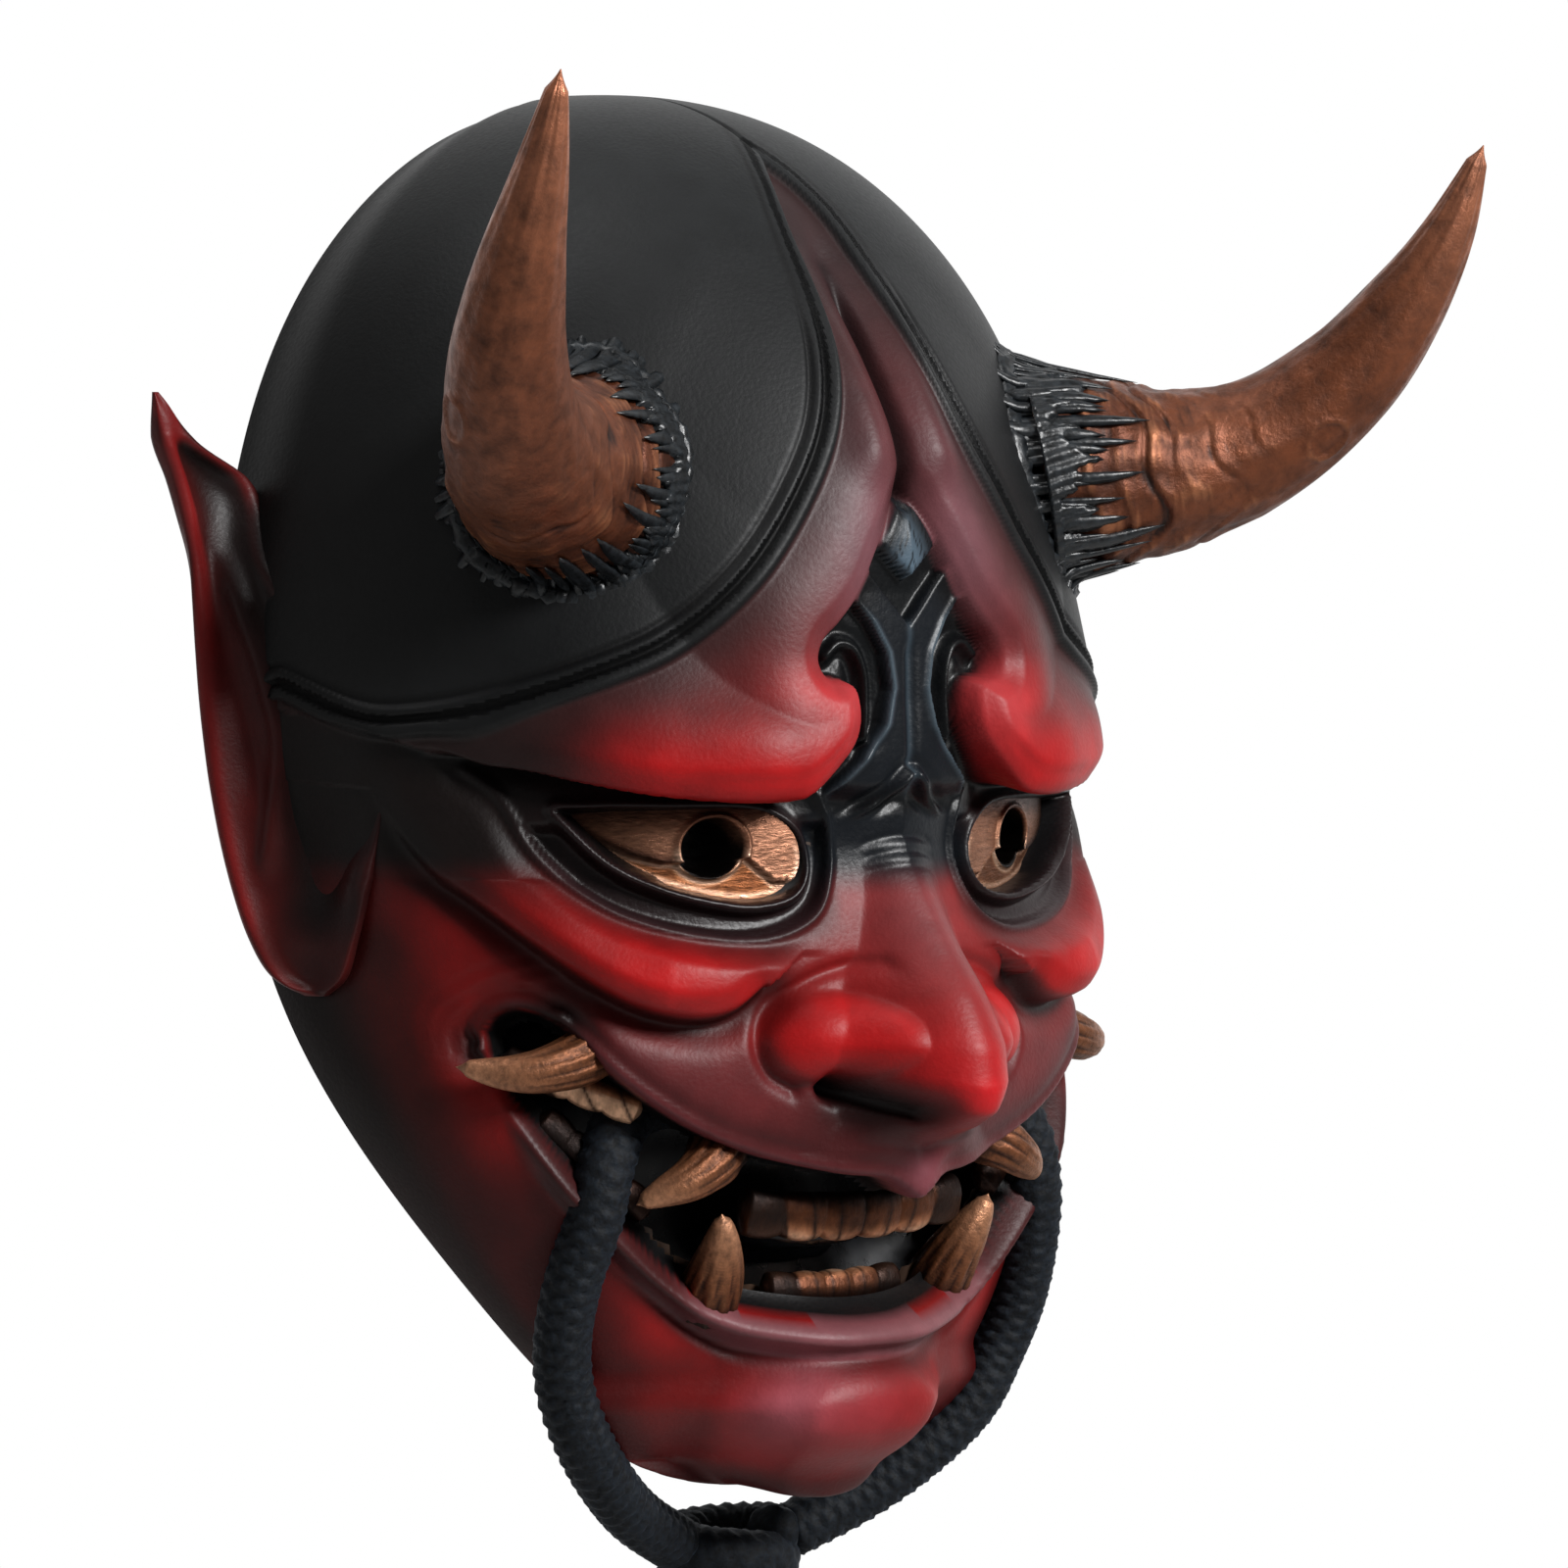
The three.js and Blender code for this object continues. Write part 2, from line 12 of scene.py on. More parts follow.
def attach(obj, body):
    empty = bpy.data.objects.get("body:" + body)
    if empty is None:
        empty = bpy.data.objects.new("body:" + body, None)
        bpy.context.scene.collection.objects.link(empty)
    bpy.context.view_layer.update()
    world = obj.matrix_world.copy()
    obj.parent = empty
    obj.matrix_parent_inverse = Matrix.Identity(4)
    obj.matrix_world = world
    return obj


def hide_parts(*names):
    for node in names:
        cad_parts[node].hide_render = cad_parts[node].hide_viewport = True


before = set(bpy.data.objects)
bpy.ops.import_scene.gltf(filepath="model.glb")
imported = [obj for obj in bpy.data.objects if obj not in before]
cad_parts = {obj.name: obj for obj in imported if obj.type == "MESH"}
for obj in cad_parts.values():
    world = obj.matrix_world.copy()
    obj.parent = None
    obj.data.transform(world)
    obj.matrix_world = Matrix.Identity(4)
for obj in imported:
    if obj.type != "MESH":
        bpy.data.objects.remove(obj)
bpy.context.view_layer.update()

# ---- camera, floor and light --------------------------------------------------------------------
# The mask hangs at eye height, 1.5 m over a pale floor, under soft studio light: a large key from
# the front right, a weak fill from the left and a surround that is white behind the mask.
# Millimetres from the pupils' level are used all through; the rim's crown is the row's origin.
CROWN_RIM = 121.5


def row_point(x, y, z):
    """A point in millimetres from the pupils' level, in the row's own frame."""
    return Vector((x, y, z - CROWN_RIM)) / 1000


camera_data = bpy.data.cameras.new("camera")
camera_data.sensor_width = 36.0
camera_data.lens = 176.6
camera_data.clip_end = 20.0
camera = bpy.data.objects.new("camera", camera_data)
bpy.context.scene.collection.objects.link(camera)
turn, tilt, distance = math.radians(-40.7), math.radians(2.0), 1330.0
back = Vector((math.sin(turn) * math.cos(tilt), -math.cos(turn) * math.cos(tilt), math.sin(tilt)))
across = Vector((math.cos(turn), math.sin(turn), 0.0))
upward = back.cross(across)
camera.location = row_point(*(across * 32.82 + upward * 8.01 + back * distance))
camera.rotation_euler = Matrix((across, upward, back)).transposed().to_euler()
bpy.context.scene.camera = camera

floor_mesh = bpy.data.meshes.new("floor")
floor_form = bmesh.new()
bmesh.ops.create_grid(floor_form, x_segments=1, y_segments=1, size=4.0)
bmesh.ops.translate(floor_form, verts=floor_form.verts, vec=(0, 0, -1.5))
floor_form.to_mesh(floor_mesh)
floor = bpy.data.objects.new("floor", floor_mesh)
bpy.context.scene.collection.objects.link(floor)
floor_paint = bpy.data.materials.new("floor_paint")
floor_paint.use_nodes = True
floor_shader = floor_paint.node_tree.nodes["Principled BSDF"]
floor_shader.inputs["Base Color"].default_value = (0.86, 0.86, 0.85, 1)
floor_shader.inputs["Roughness"].default_value = 0.8
floor_mesh.materials.append(floor_paint)

surround = bpy.data.worlds.new("surround")
surround.use_nodes = True
nodes, links = surround.node_tree.nodes, surround.node_tree.links
toward = nodes.new("ShaderNodeTexCoord")
facing = nodes.new("ShaderNodeVectorMath")
facing.operation = "DOT_PRODUCT"
facing.inputs[1].default_value = back
links.new(toward.outputs["Object"], facing.inputs[0])
strength = nodes.new("ShaderNodeMapRange")
strength.interpolation_type = "SMOOTHSTEP"
strength.inputs["From Min"].default_value = -0.75
strength.inputs["From Max"].default_value = -0.1
strength.inputs["To Min"].default_value = 1.0
strength.inputs["To Max"].default_value = 0.13
links.new(facing.outputs["Value"], strength.inputs["Value"])
surround.node_tree.nodes["Background"].inputs["Color"].default_value = (1.0, 1.0, 1.0, 1)
links.new(strength.outputs["Result"], nodes["Background"].inputs["Strength"])
bpy.context.scene.world = surround
bpy.context.scene.view_settings.view_transform = "Standard"

for name, place, size, power in (
    ("key_light", across * 1000 + upward * 650 + back * 800, 0.45, 26.0),
    ("top_light", across * -150 + upward * 1300 + back * 300, 0.6, 4.5),
    ("fill_light", across * -1300 + upward * 100 + back * 700, 1.0, 0.8),
):
    lamp_data = bpy.data.lights.new(name, "AREA")
    lamp_data.shape = "DISK"
    lamp_data.size = size
    lamp_data.energy = power
    lamp = bpy.data.objects.new(name, lamp_data)
    bpy.context.scene.collection.objects.link(lamp)
    lamp.location = row_point(*place)
    aim = row_point(0, -50, 10) - lamp.location
    lamp.rotation_euler = aim.to_track_quat("-Z", "Y").to_euler()

# ---- cord ---------------------------------------------------------------------------------------
# A braided silk cord, 10 mm thick and nearly black. It runs through the mouth behind the fangs,
# out at each corner, round the jaw and into the knot under the chin.
CORD_THICK = 10.0
CORD_HALF = [
    (0, -52, -42), (16, -52.5, -42), (30, -54.5, -42), (40, -57, -44), (46, -59.5, -51),
    (48.5, -59.5, -60), (50.5, -56.5, -70), (50.5, -53.5, -80), (48, -51, -89),
    (43, -49.5, -98), (35, -46, -106), (25, -41.5, -113), (11.5, -36.5, -119.5),
]
cord_route = [(-x, y, z) for x, y, z in reversed(CORD_HALF)] + CORD_HALF[1:]


def through(points, count):
    """Evenly spaced points on the smooth curve that passes through the given ones."""
    p = np.asarray(points, float)
    p = np.vstack([2 * p[0] - p[1], p, 2 * p[-1] - p[-2]])
    fine = []
    for i in range(1, len(p) - 2):
        t = np.linspace(0, 1, 24, endpoint=False)[:, None]
        a, b, c, d = p[i - 1 : i + 3]
        fine.append(
            0.5
            * (2 * b + (c - a) * t + (2 * a - 5 * b + 4 * c - d) * t**2 + (3 * b - a - 3 * c + d) * t**3)
        )
    fine = np.vstack(fine + [p[-2][None]])
    run = np.concatenate([[0], np.cumsum(np.linalg.norm(np.diff(fine, axis=0), axis=1))])
    stops = np.linspace(0, run[-1], count)
    return np.stack([np.interp(stops, run, fine[:, k]) for k in range(fine.shape[1])], axis=1)


def new_piece(name, form, *materials):
    """An object at the origin from a bmesh whose points are already in the row's frame."""
    mesh = bpy.data.meshes.new(name)
    form.to_mesh(mesh)
    form.free()
    for material in materials:
        mesh.materials.append(material)
    mesh.shade_smooth()
    piece = bpy.data.objects.new(name, mesh)
    bpy.context.scene.collection.objects.link(piece)
    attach(piece, "root")
    return piece


def points_of(form):
    return np.array([v.co for v in form.verts])


def millimetres_of(form):
    """Its points in millimetres from the pupils' level."""
    return points_of(form) * 1000 + np.array([0, 0, CROWN_RIM])


def move_points(form, millimetres):
    """Puts each vertex at its point, given in millimetres from the pupils' level."""
    for v, (x, y, z) in zip(form.verts, millimetres):
        v.co = (x / 1000, y / 1000, (z - CROWN_RIM) / 1000)


def carried_frames(route, first_side):
    """The direction of a route at each point, and two side directions carried along it."""
    along = np.gradient(route, axis=0)
    along /= np.linalg.norm(along, axis=1)[:, None]
    side = np.zeros_like(along)
    last = np.asarray(first_side, float)
    for i, t in enumerate(along):
        last = last - t * (last @ t)
        last /= np.linalg.norm(last)
        side[i] = last
    return along, side, np.cross(along, side)


def sleeve(route, reach, sides, first_side=(0, 0, 1)):
    """A closed round body on a route. A flat grid is rolled round it, welded and capped:
    reach(share, angle) is how far in mm the skin stands from the route."""
    route = np.asarray(route, float)
    form = bmesh.new()
    form.loops.layers.uv.new("UVMap")
    bmesh.ops.create_grid(
        form, x_segments=len(route) - 1, y_segments=sides, size=1.0, calc_uvs=True
    )
    flat = points_of(form)
    share = (flat[:, 0] + 1) / 2
    angle = (flat[:, 1] + 1) * math.pi
    station = np.rint(share * (len(route) - 1)).astype(int)
    _, side, other = carried_frames(route, first_side)
    far = reach(share, angle)[:, None]
    skin = route[station] + far * (
        np.cos(angle)[:, None] * side[station] + np.sin(angle)[:, None] * other[station]
    )
    move_points(form, skin)
    bmesh.ops.remove_doubles(form, verts=form.verts, dist=1e-6)
    bmesh.ops.holes_fill(form, edges=[e for e in form.edges if e.is_boundary], sides=0)
    bmesh.ops.recalc_face_normals(form, faces=form.faces)
    return form


def braid(length, strands=8, lay=11.0, thick=CORD_THICK):
    """How far the skin of a braid stands from its middle: strands of two hands pass over and
    under each other, lay is the length of one full turn of a strand."""

    def reach(share, angle):
        turn = angle / (2 * math.pi) * strands / 2
        run = share * length / lay * strands / 2
        p, q = turn + run, turn - run
        over = (np.floor(p) + np.floor(q)) % 2 < 1
        hump_p = np.abs(np.sin(math.pi * p))
        hump_q = np.abs(np.sin(math.pi * q))
        hump = np.where(over, hump_p**0.6 * (0.55 + 0.45 * hump_q), hump_q**0.6 * (0.55 + 0.45 * hump_p))
        ends = np.minimum(1, np.minimum(share, 1 - share) * length / 2.5 + 0.35)
        return (thick / 2) * ends * (0.82 + 0.2 * hump)

    return reach


def route_length(route):
    return float(np.linalg.norm(np.diff(route, axis=0), axis=1).sum())


def set_inputs(node, **values):
    """Sets a node's inputs, named with _ for each space."""
    for name, value in values.items():
        node.inputs[name.replace("_", " ")].default_value = value


def finish(name):
    """A new material, its nodes and links, its shader and the place the patterns are read at."""
    made = bpy.data.materials.new(name)
    made.use_nodes = True
    nodes, links = made.node_tree.nodes, made.node_tree.links
    return made, nodes, links, nodes["Principled BSDF"], nodes.new("ShaderNodeTexCoord").outputs["Object"]


def add_noise(nodes, links, place, scale, detail, distortion=0.0):
    """Noise read at the place; a scale of three numbers stretches it."""
    noise = nodes.new("ShaderNodeTexNoise")
    set_inputs(noise, Detail=detail, Distortion=distortion)
    if isinstance(scale, (int, float)):
        set_inputs(noise, Scale=scale)
    else:
        set_inputs(noise, Scale=1.0)
        stretch = nodes.new("ShaderNodeMapping")
        set_inputs(stretch, Scale=scale)
        links.new(place, stretch.inputs["Vector"])
        place = stretch.outputs["Vector"]
    links.new(place, noise.inputs["Vector"])
    return noise


def add_bump(nodes, links, noise, shader, strength, distance):
    bump = nodes.new("ShaderNodeBump")
    set_inputs(bump, Strength=strength, Distance=distance)
    links.new(noise.outputs["Fac"], bump.inputs["Height"])
    links.new(bump.outputs["Normal"], shader.inputs["Normal"])


def add_range(nodes, links, noise, low, high, start=0.0, stop=1.0):
    """Spreads the noise between start and stop over low to high."""
    spread = nodes.new("ShaderNodeMapRange")
    set_inputs(spread, From_Min=start, From_Max=stop, To_Min=low, To_Max=high)
    links.new(noise.outputs["Fac"], spread.inputs["Value"])
    return spread.outputs["Result"]


def mottled(name, scale, detail, dark, light, rough=None, bump=None, distortion=0.0, **shine):
    """A finish of two shades in one noise: dark and light are (noise level, colour), rough the
    roughness at each end, bump its strength and depth in metres."""
    made, nodes, links, shader, place = finish(name)
    set_inputs(shader, **shine)
    noise = add_noise(nodes, links, place, scale, detail, distortion)
    tint = nodes.new("ShaderNodeValToRGB")
    for stop, (level, shade_colour) in zip(tint.color_ramp.elements, (dark, light)):
        stop.position = level
        stop.color = (*shade_colour, 1)
    links.new(noise.outputs["Fac"], tint.inputs["Fac"])
    links.new(tint.outputs["Color"], shader.inputs["Base Color"])
    if rough:
        links.new(add_range(nodes, links, noise, *rough), shader.inputs["Roughness"])
    if bump:
        add_bump(nodes, links, noise, shader, *bump)
    return made


# Black silk shot with blue: fine fibres and a faint sheen.
silk = mottled(
    "cord_silk", 900, 4, (0.35, (0.0015, 0.002, 0.003)), (0.72, (0.007, 0.011, 0.017)),
    bump=(0.6, 0.0004), Roughness=0.7, Specular_IOR_Level=0.25, Sheen_Weight=0.06,
    Sheen_Roughness=0.4, Sheen_Tint=(0.35, 0.5, 0.75, 1),
)
cord_points = through(cord_route, 420)
cord_length = route_length(cord_points)
mouth_cord = new_piece("mouth_cord_braid", sleeve(cord_points, braid(cord_length), 40), silk)
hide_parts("mouth_cord")

# The knot: the two ends pass each other and are bound by two turns of the same cord.
KNOT_MIDDLE = (0, -35, -124)
wind = np.linspace(-0.15, 2.15, 150) * 2 * math.pi
knot_route = np.stack(
    [
        KNOT_MIDDLE[0] + 9.2 * np.cos(wind),
        KNOT_MIDDLE[1] + 6.6 * np.sin(wind),
        KNOT_MIDDLE[2] + 5.4 - (wind / (2 * math.pi)) * 5.4 + 1.2 * np.sin(wind * 0.5),
    ],
    axis=1,
)
knot = new_piece(
    "chin_knot_braid", sleeve(knot_route, braid(route_length(knot_route), thick=9.4), 36), silk
)
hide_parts("chin_knot")

# Each end hangs below the knot and is dressed into a tassel: a bound neck and a skirt of threads.
TAIL = [(5.5, -35.5, -124), (7, -35.5, -135), (8, -35.5, -150), (9, -34.5, -168), (9, -34, -189)]
TASSEL_LENGTH = 35.5
for hand, side in (("right", -1), ("left", 1)):
    line = through([(side * x, y, z) for x, y, z in TAIL], 90)
    tail = new_piece(
        "cord_tail_braid_" + hand, sleeve(line, braid(route_length(line)), 36, (1, 0, 0)), silk
    )
    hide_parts("cord_tail_" + hand)
    top = line[-1]
    fall = np.linspace(top, top - np.array([0, 0, TASSEL_LENGTH]), 60)

    def skirt(share, angle):
        body = np.interp(
            share,
            [0, 0.03, 0.1, 0.22, 0.3, 0.36, 0.6, 0.97, 1],
            [3.0, 5.2, 6.6, 6.4, 4.9, 5.4, 6.8, 7.5, 7.2],
        )
        threads = np.sin(angle * 22) * np.where(share > 0.34, 0.22, 0.05)
        binding = np.where((share > 0.24) & (share < 0.35), 0.35 * np.sin(share * 170), 0)
        return body + threads + binding

    tassel = new_piece("cord_tassel_threads_" + hand, sleeve(fall, skirt, 132, (1, 0, 0)), silk)
    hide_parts("cord_tassel_" + hand)

# ---- face ---------------------------------------------------------------------------------------
# The shell's outside: carved wood, grounded, sanded and painted red, with the black hair cap and
# the black ornament between the brows carved in the same piece. It is modelled as one fine skin:
# a grid wrapped on the head's plain form, then cut and raised by carving strokes.
CROWN, CHIN = 125.0, -108.0
EYELET = (-5.6, 25.0, 3.4)  # y, z and radius of the ribbon hole behind each ear
MIDDLE, HALF_TALL = (CROWN + CHIN) / 2, (CROWN - CHIN) / 2
HALF_WIDE = 82.0


def ease(t):
    t = np.clip(t, 0, 1)
    return t * t * (3 - 2 * t)


def bell(x, spread):
    return np.exp(-((x / spread) ** 2))


def oval(level, power):
    return np.maximum(0, 1 - np.abs(level) ** power) ** (1 / power)


def head_width(z):
    return HALF_WIDE * oval((z - MIDDLE) / HALF_TALL, 2.2) * (
        1 - 0.1 * bell(z + 84, 34) + 0.04 * ease((z - 20) / 80)
    )


def head_setback(z):
    return 50 * np.clip((-5 - z) / 103, 0, 1) ** 0.8


def head_depth(z):
    level = (z - MIDDLE) / HALF_TALL
    full = 82 * np.where(level > 0, oval(level, 2.4), oval(level, 3.6)) - 6 * bell(z + 70, 22)
    return np.maximum(full, head_setback(z) + 1)


def on_head(girth, z, inward=0.0):
    """A point of the plain form: girth is the distance round the head from the middle line."""
    angle = girth / HALF_WIDE
    setback = head_setback(z)
    wide = np.maximum(0.3 * head_width(z), head_width(z) - inward)
    deep = np.maximum(setback + 0.3 * (head_depth(z) - setback), head_depth(z) - inward)
    tall = z + inward * (MIDDLE - z) / HALF_TALL
    return np.stack([wide * np.sin(angle), -(setback + (deep - setback) * np.cos(angle)), tall], axis=-1)


def head_normal(girth, z, nudge=0.5):
    """The direction straight out of the head's plain form, which never points backwards."""
    normal = np.cross(
        on_head(girth + nudge, z) - on_head(girth - nudge, z),
        on_head(girth, z + nudge) - on_head(girth, z - nudge),
    )
    normal[:, 1] = np.minimum(normal[:, 1], -1e-6)
    return normal / np.linalg.norm(normal, axis=1)[:, None]


def head_place(flat_x, flat_z, fineness):
    """Where a place on a flat square from -1 to 1 lies on the head, as (girth, z)."""
    packed_x = flat_x * (fineness + (1 - fineness) * flat_x**2)
    packed_z = flat_z * (fineness + (1 - fineness) * flat_z**2)
    x = packed_x * np.sqrt(1 - packed_z**2 / 2)
    z = packed_z * np.sqrt(1 - packed_x**2 / 2)
    r = np.clip(np.hypot(x, z), 1e-9, 1)
    grow = np.sin(r * math.pi / 2) / r
    return HALF_WIDE * np.arctan2(x * grow, np.cos(r * math.pi / 2)), MIDDLE + HALF_TALL * z * grow


def head_grid(form, columns, rows, fineness=0.5):
    """A grid's vertices as (girth, z) on the head, finer towards the nose."""
    bmesh.ops.create_grid(form, x_segments=columns, y_segments=rows, size=1.0)
    flat = points_of(form)
    return head_place(flat[:, 0], flat[:, 1], fineness)


class Line:
    """A smooth line on the right half of the face through (girth, z) points."""

    def __init__(self, points, closed=False, count=90):
        p = list(points) + ([points[0]] if closed else [])
        self.points = through(p, count)
        self.closed = closed

    def read(self, girth, z, reach=60.0):
        """Distance to the line, share of the way along it, and the unit step towards it."""
        lo, hi = self.points.min(0) - reach, self.points.max(0) + reach
        near = np.flatnonzero(
            (girth > lo[0]) & (girth < hi[0]) & (z > lo[1]) & (z < hi[1])
        )
        far = np.full(len(girth), 1e3)
        share = np.zeros(len(girth))
        step = np.zeros((len(girth), 2))
        g, h = girth[near], z[near]
        best = np.full(len(near), 1e6)
        best_share = np.zeros(len(near))
        step_g = np.zeros(len(near))
        step_h = np.zeros(len(near))
        last = len(self.points) - 1
        for i in range(last):
            (ax, ay), (bx, by) = self.points[i], self.points[i + 1]
            dx, dy = bx - ax, by - ay
            t = np.clip(((g - ax) * dx + (h - ay) * dy) / (dx * dx + dy * dy + 1e-12), 0, 1)
            ex, ey = ax + t * dx - g, ay + t * dy - h
            d = ex * ex + ey * ey
            better = d < best
            best = np.where(better, d, best)
            best_share = np.where(better, (i + t) / last, best_share)
            step_g = np.where(better, ex, step_g)
            step_h = np.where(better, ey, step_h)
        distance = np.sqrt(best)
        far[near] = distance
        share[near] = best_share
        step[near, 0] = step_g / np.maximum(distance, 1e-9)
        step[near, 1] = step_h / np.maximum(distance, 1e-9)
        return far, share, step

    def holds(self, girth, z, extra=()):
        """Which points lie inside the line, closed by extra corner points if it is open."""
        ring = np.vstack([self.points, np.asarray(extra, float).reshape(-1, 2)])
        inside = np.zeros(len(girth), bool)
        for (ax, ay), (bx, by) in zip(ring, np.roll(ring, -1, axis=0)):
            if ay == by:
                continue
            crosses = (ay > z) != (by > z)
            inside ^= crosses & (girth < (bx - ax) * (z - ay) / (by - ay) + ax)
        return inside


# Carved lines on one half of the face: girth from the middle line and height, in millimetres.
HAIRLINE = Line([
    (0, 113), (4, 109), (7, 102), (8.2, 90), (9.8, 78), (13.6, 66), (21, 53.6), (28.2, 44), (36, 36.4),
    (44, 30.8), (52, 27.2), (64, 23), (76, 19.8), (86, 18.2), (96, 18.6), (112, 24),
])
BROW = Line([
    (0, 58), (2.5, 55), (6.6, 48.5), (11, 41), (15, 36.4), (18, 33.6), (19, 30.6), (17.8, 28.2),
    (15.2, 27.6), (13, 26.8), (12, 24.4), (12, 20.5), (13.6, 16.4), (17.4, 12.6), (24, 10.3),
    (34.5, 10), (47, 11.2), (58, 13.2), (70, 15.6), (84, 16),
], count=150)
LID_RIM = Line([
    (78, 13), (72, 8.6), (65.3, -1.2), (55, -9.4), (42, -13.6), (28.5, -14.6), (18.6, -11), (14.4, -3.5),
    (14.6, 4), (17, 9),
])
EYE = Line([
    (62.5, 6.6), (54, 6.9), (44, 6.8), (33, 6.6), (26, 5.6), (20.8, 2.2), (19.4, -3), (22, -7),
    (28, -8.6), (35, -8.2), (45, -5.8), (54, -1.4),
], closed=True)
CHEEK_FOLD = Line([
    (94, 10), (85, -2), (77, -8.5), (67, -16.4), (59, -22), (51, -25.8), (43, -27.3), (36, -26.4),
    (30, -22.6),
])
UPPER_LIP = Line([
    (83, -30), (79, -27), (73, -26), (66, -29.2), (58, -37.4), (47, -44.8), (35, -49.8),
    (18, -53.7), (8, -54.8), (4, -56.4), (0, -57.6), (-4, -56.4),
])
LOWER_LIP = Line([
    (83, -30), (83.4, -36), (79, -44), (71, -53.8), (63, -61.8), (57, -67.7), (50, -72.5),
    (42, -75.6), (34, -77.4), (18, -79), (0, -79.3), (-8, -79.2),
])
LOWER_LIP_OUTER = Line([
    (70, -60), (62, -71), (52, -78), (42, -81.8), (34, -83.4), (12, -85), (0, -85), (-6, -85),
])
ALA_CREASE = Line([(9, -19), (14, -19.5), (21, -21.6), (28, -26), (31, -31.6), (29.4, -36.6), (25, -39.4)])
NOSTRIL = Line([(7.5, -41), (11, -40.6), (15, -39.6), (18, -38.6)])
CLEFT = Line([(0, 96), (0.3, 88), (0, 78), (0, 66), (0, 56)])
FANG_HOLLOW = Line([(66, -27), (76, -29.5), (85, -33)])


def drawn_in(girth, z):
    """How far in mm the wall is drawn in towards the rim behind the lower half of each ear."""
    return 3.4 * bell(z + 4, 18) * ease((np.abs(girth) - 92) / 20)


def carve(girth, z):
    """Lifts in mm for every vertex: out from the head, forwards, sideways and up; and the fields
    that the paint is laid by, mostly signed distances from the carved lines."""
    g = np.abs(girth)
    out = np.zeros(len(g))
    front = np.zeros(len(g))
    rise = np.zeros(len(g))
    spread = np.zeros(len(g))

    # the openings: distances are positive on the face and negative inside an opening
    eye, _, _ = EYE.read(g, z)
    eye = np.where(EYE.holds(g, z), -eye, eye)
    upper, _, _ = UPPER_LIP.read(g, z)
    lower, _, _ = LOWER_LIP.read(g, z)
    in_mouth = UPPER_LIP.holds(g, z, LOWER_LIP.points[::-1])
    mouth = np.minimum(upper, lower) * np.where(in_mouth, -1, 1)
    upper = np.where(in_mouth, -upper, upper)
    lower = np.where(in_mouth, -lower, lower)
    face = ease((mouth + 0.3) / 1.2)

    # forehead and brows: one thick slab with a rolled edge, over the sockets and the ornament
    brow, along, _ = BROW.read(g, z)
    slab = BROW.holds(g, z, [(96, 20), (140, 26), (140, 150), (-1, 150), (-1, 58)])
    brow = np.where(slab, brow, -brow)
    thick = 5.6 + 2.6 * ease((32 - z) / 22) - 5.4 * ease((g - 44) / 40)
    ledge = ease((brow + 0.9) / 2.0) * (0.6 + 0.4 * ease(brow / 4.5))
    swell = 1 + 0.14 * bell(brow - 9, 7)
    fall = 1 - ease(brow / 46)
    out += thick * ledge * swell * fall
    out -= 0.5 * bell(brow - 3.4, 0.8) * ease((along - 0.4) / 0.06) * (1 - ease((along - 0.6) / 0.1))
    lower_edge = ease((along - 0.44) / 0.08) * (1 - ease((along - 0.9) / 0.1))
    rise -= 3.2 * ease((brow + 0.6) / 1.6) * bell(np.maximum(brow, 0), 5) * lower_edge
    far_tip = bell(np.hypot(g - 30, z - 17), 9)
    front += 1.6 * far_tip * ease((brow + 0.4) / 2)
    cleft, cleft_along, _ = CLEFT.read(g, z)
    out -= 2.8 * bell(cleft, 1.3) * ease(cleft_along / 0.3) + 1.6 * bell(cleft, 5)
    wedge = ease((100 - z) / 30) * ease((z - 56) / 8)
    out += 1.8 * wedge * bell(g - 7, 4.5)
    under = 1 - ease((brow + 0.9) / 1.6)

    # sockets: hollow under the brow, deepest beside the root of the nose
    out -= 4.6 * bell(np.hypot((g - 21) / 1.5, z - 0), 13) * under
    out -= 2.2 * under * bell(brow, 4.5) * lower_edge
    out -= 1.4 * bell(np.hypot((g - 74) / 1.6, z - 12), 9) * under

    # ornament between the brows: a chip under the cleft, a forked trunk with a crease down its
    # middle that flares over the eyes, and a small gable over the root of the nose
    middle = under * ease((z - 4) / 3) * ease((24 - g) / 3)
    out += middle * np.interp(z, [3, 10, 24, 42, 50, 58], [0.2, -0.8, -1.6, -1.0, 0.6, 2.0])
    trunk = np.interp(z, [5, 9, 14, 20, 26, 32, 37, 41, 46], [15, 16, 10.5, 6, 4.6, 5.6, 8.6, 12.5, 15])
    inside = trunk - g
    fork = ease((37.4 + 1.05 * g - z) / 1.4)
    raised = ease((inside + 0.5) / 1.3) * fork * ease((z - 7) / 4)
    out += middle * raised * (2.4 + 0.5 * bell(inside - 0.9, 0.7))
    out -= middle * 0.9 * bell(g, 1.2) * ease((35 - z) / 4) * ease((z - 11) / 3)
    chip = ease((z - 43.5 - 0.8 * g) / 1.0) * ease((6.6 - g) / 1.0)
    out += middle * chip * (3.4 - 0.2 * g)
    for strap, high, wide in (
        ([(9.2, 18), (8.8, 24), (9.2, 29), (11, 32.6), (14, 33.4), (16.6, 31.4)], 1.9, 1.0),
        ([(0.8, 11.8), (4.6, 8.2), (11, 3.6)], 1.5, 0.9),
    ):
        d, _, _ = Line(strap, count=40).read(g, z, 14)
        out += middle * (high * bell(d, wide) - 0.5 * bell(d - wide - 1.1, 0.9))
    for level in (1.6, -0.8, -3.2):
        out -= 0.35 * bell(z - level + 0.02 * g**2, 0.6) * ease((9 - g) / 3)

